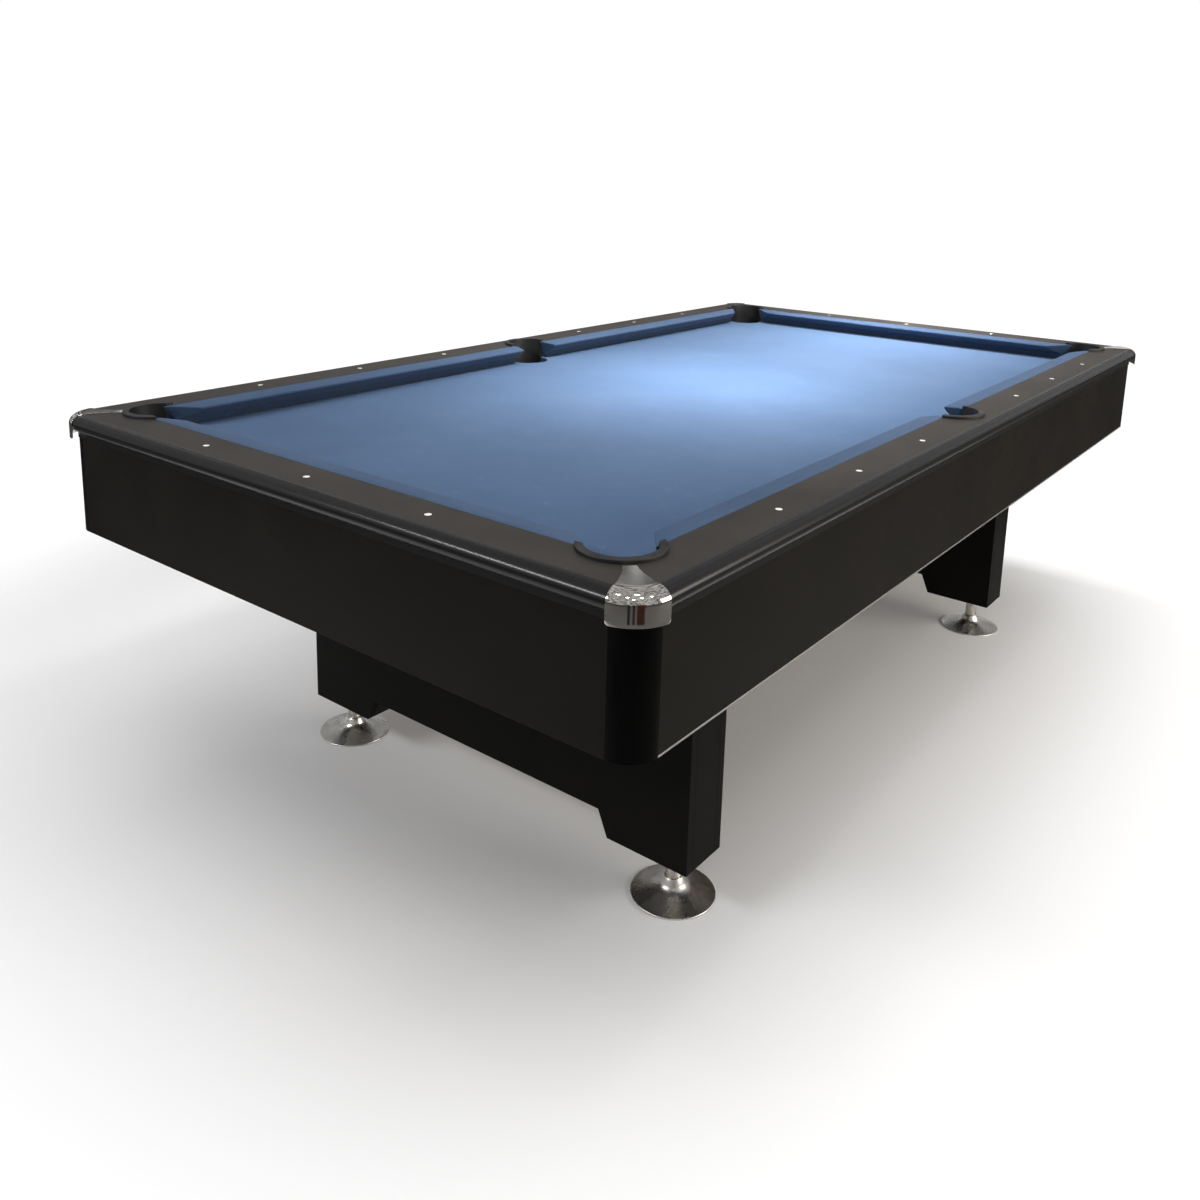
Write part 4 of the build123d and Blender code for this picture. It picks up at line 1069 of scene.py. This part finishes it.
def lamp(name, place, target, size, power, colour=(1, 1, 1), spread=math.pi, mirrored=True):
    data = bpy.data.lights.new(name, "AREA")
    data.spread = spread
    data.shape = "RECTANGLE"
    data.size, data.size_y = size
    data.energy = power
    data.color = colour
    made = bpy.data.objects.new(name, data)
    bpy.context.scene.collection.objects.link(made)
    made.visible_camera = False
    made.visible_glossy = mirrored
    made.location = place
    made.rotation_euler = (Vector(target) - Vector(place)).to_track_quat("-Z", "Y").to_euler()


def dark_cards():
    """Upright cards behind the camera that only the bright metal mirrors."""
    corner = (-HALF_LENGTH - NOSING_OUT, -HALF_WIDTH - NOSING_OUT)
    away, bottom, top = 1.3, 0.01, 0.9
    black, brown = tint(0.004, 0.004, 0.004), tint(0.060, 0.016, 0.008)
    for number, (first, last, shade) in enumerate(
            ((206, 212, black), (218, 223, black), (228, 246, brown))):
        ends = [(corner[0] + away * math.cos(a), corner[1] + away * math.sin(a))
                for a in (math.radians(first), math.radians(last))]
        mesh = bpy.data.meshes.new(f"card_{number + 1}")
        mesh.from_pydata([(x, y, z) for z in (bottom, top) for x, y in ends], [], [(0, 1, 3, 2)])
        shaded = Finish(f"card_{number + 1}", Base_Color=shade, Roughness=0.9)
        mesh.materials.append(shaded.material)
        card = bpy.data.objects.new(f"card_{number + 1}", mesh)
        bpy.context.scene.collection.objects.link(card)
        card.visible_camera = card.visible_diffuse = card.visible_shadow = False


def surroundings():
    """White where the camera sees it, and a room in soft streaks to everything else."""
    world = bpy.data.worlds.new("studio")
    bpy.context.scene.world = world
    world.use_nodes = True
    tree = world.node_tree
    seen, sky = tree.nodes.new("ShaderNodeLightPath"), tree.nodes["Background"]
    way, streaks = tree.nodes.new("ShaderNodeTexCoord"), tree.nodes.new("ShaderNodeTexNoise")
    tall, level = tree.nodes.new("ShaderNodeMapping"), tree.nodes.new("ShaderNodeMapRange")
    walls = tree.nodes.new("ShaderNodeMapRange")
    tall.inputs["Scale"].default_value = (4.0, 4.0, 1.2)
    for name, value in (("From Min", 0.46), ("From Max", 0.54),
                        ("To Min", 0.04), ("To Max", 0.66)):
        walls.inputs[name].default_value = value
    level.inputs["To Max"].default_value = 1.0
    sky.inputs["Color"].default_value = (1.0, 1.0, 1.0, 1.0)
    for source, socket in (
            (way.outputs["Generated"], tall.inputs["Vector"]),
            (tall.outputs[0], streaks.inputs["Vector"]),
            (streaks.outputs[0], walls.inputs["Value"]),
            (walls.outputs[0], level.inputs["To Min"]),
            (seen.outputs["Is Camera Ray"], level.inputs["Value"]),
            (level.outputs[0], sky.inputs["Strength"])):
        tree.links.new(source, socket)


def lamps():
    lamp("ceiling", (-0.2, -0.6, 4.2), (0, -0.4, 0), (5.0, 4.0), 118, mirrored=False)
    for number, x in enumerate((0.1, 1.05)):
        lamp(f"table_lamp_{number + 1}", (x, 0.05, 1.62), (x, 0.05, 0.7), (0.30, 0.22),
             12.0, (1.0, 0.98, 0.95), 1.8)
    lamp("end_strip", (-3.4, 1.2, 2.3), (-1.2, 0.1, 0.78), (1.6, 0.16), 38)
    lamp("side_fill", (1.2, -3.8, 1.5), (0.8, 0, 0.6), (3.2, 1.4), 95, (1.0, 0.93, 0.83))
    height, size, power = 3.2, (0.16, 0.16), 3.0
    for number, (x, y) in enumerate(((-2.6, -1.2), (-1.9, -2.2), (-1.3, -1.1),
                                     (-2.2, -0.2), (-0.9, -2.4), (-3.0, -2.2))):
        lamp(f"spot_{number + 1}", (x, y, height), (x, y, 0), size, power)


def studio_floor():
    """Shaded under the table, and running into the white surroundings beyond it."""
    half = 30.0
    mesh = bpy.data.meshes.new("floor")
    mesh.from_pydata([(-half, -half, 0), (half, -half, 0), (half, half, 0), (-half, half, 0)],
                     [], [(0, 1, 2, 3)])
    pale, deep = tint(0.86, 0.86, 0.87), tint(0.10, 0.10, 0.10)
    made = Finish("studio_floor", Roughness=0.9, Specular_IOR_Level=0.1, Emission_Strength=1.0)
    x, y, _ = made.parts(made.place())
    away = ((x * 0.75) ** 2.0 + (y - 0.45) ** 2.0) ** 0.5
    far = away.over(1.12, 2.05)
    glow = made.node("LightPath") * far
    made.set(Emission_Color=made.mixed(glow, tint(0, 0, 0), tint(1, 1, 1)),
             Base_Color=made.mixed(far, pale, deep))
    mesh.materials.append(made.material)
    floor = bpy.data.objects.new("studio_floor", mesh)
    bpy.context.scene.collection.objects.link(floor)


def studio():
    surroundings()
    lamps()
    studio_floor()
    bpy.context.scene.view_settings.view_transform = "Standard"


finish_construction()
camera()
studio()
dark_cards()
bed_cloth()
rail_cloths()
corner_caps()
levelling_feet()
sights()
bracket_screws()
cabinet()
rails_and_pockets()
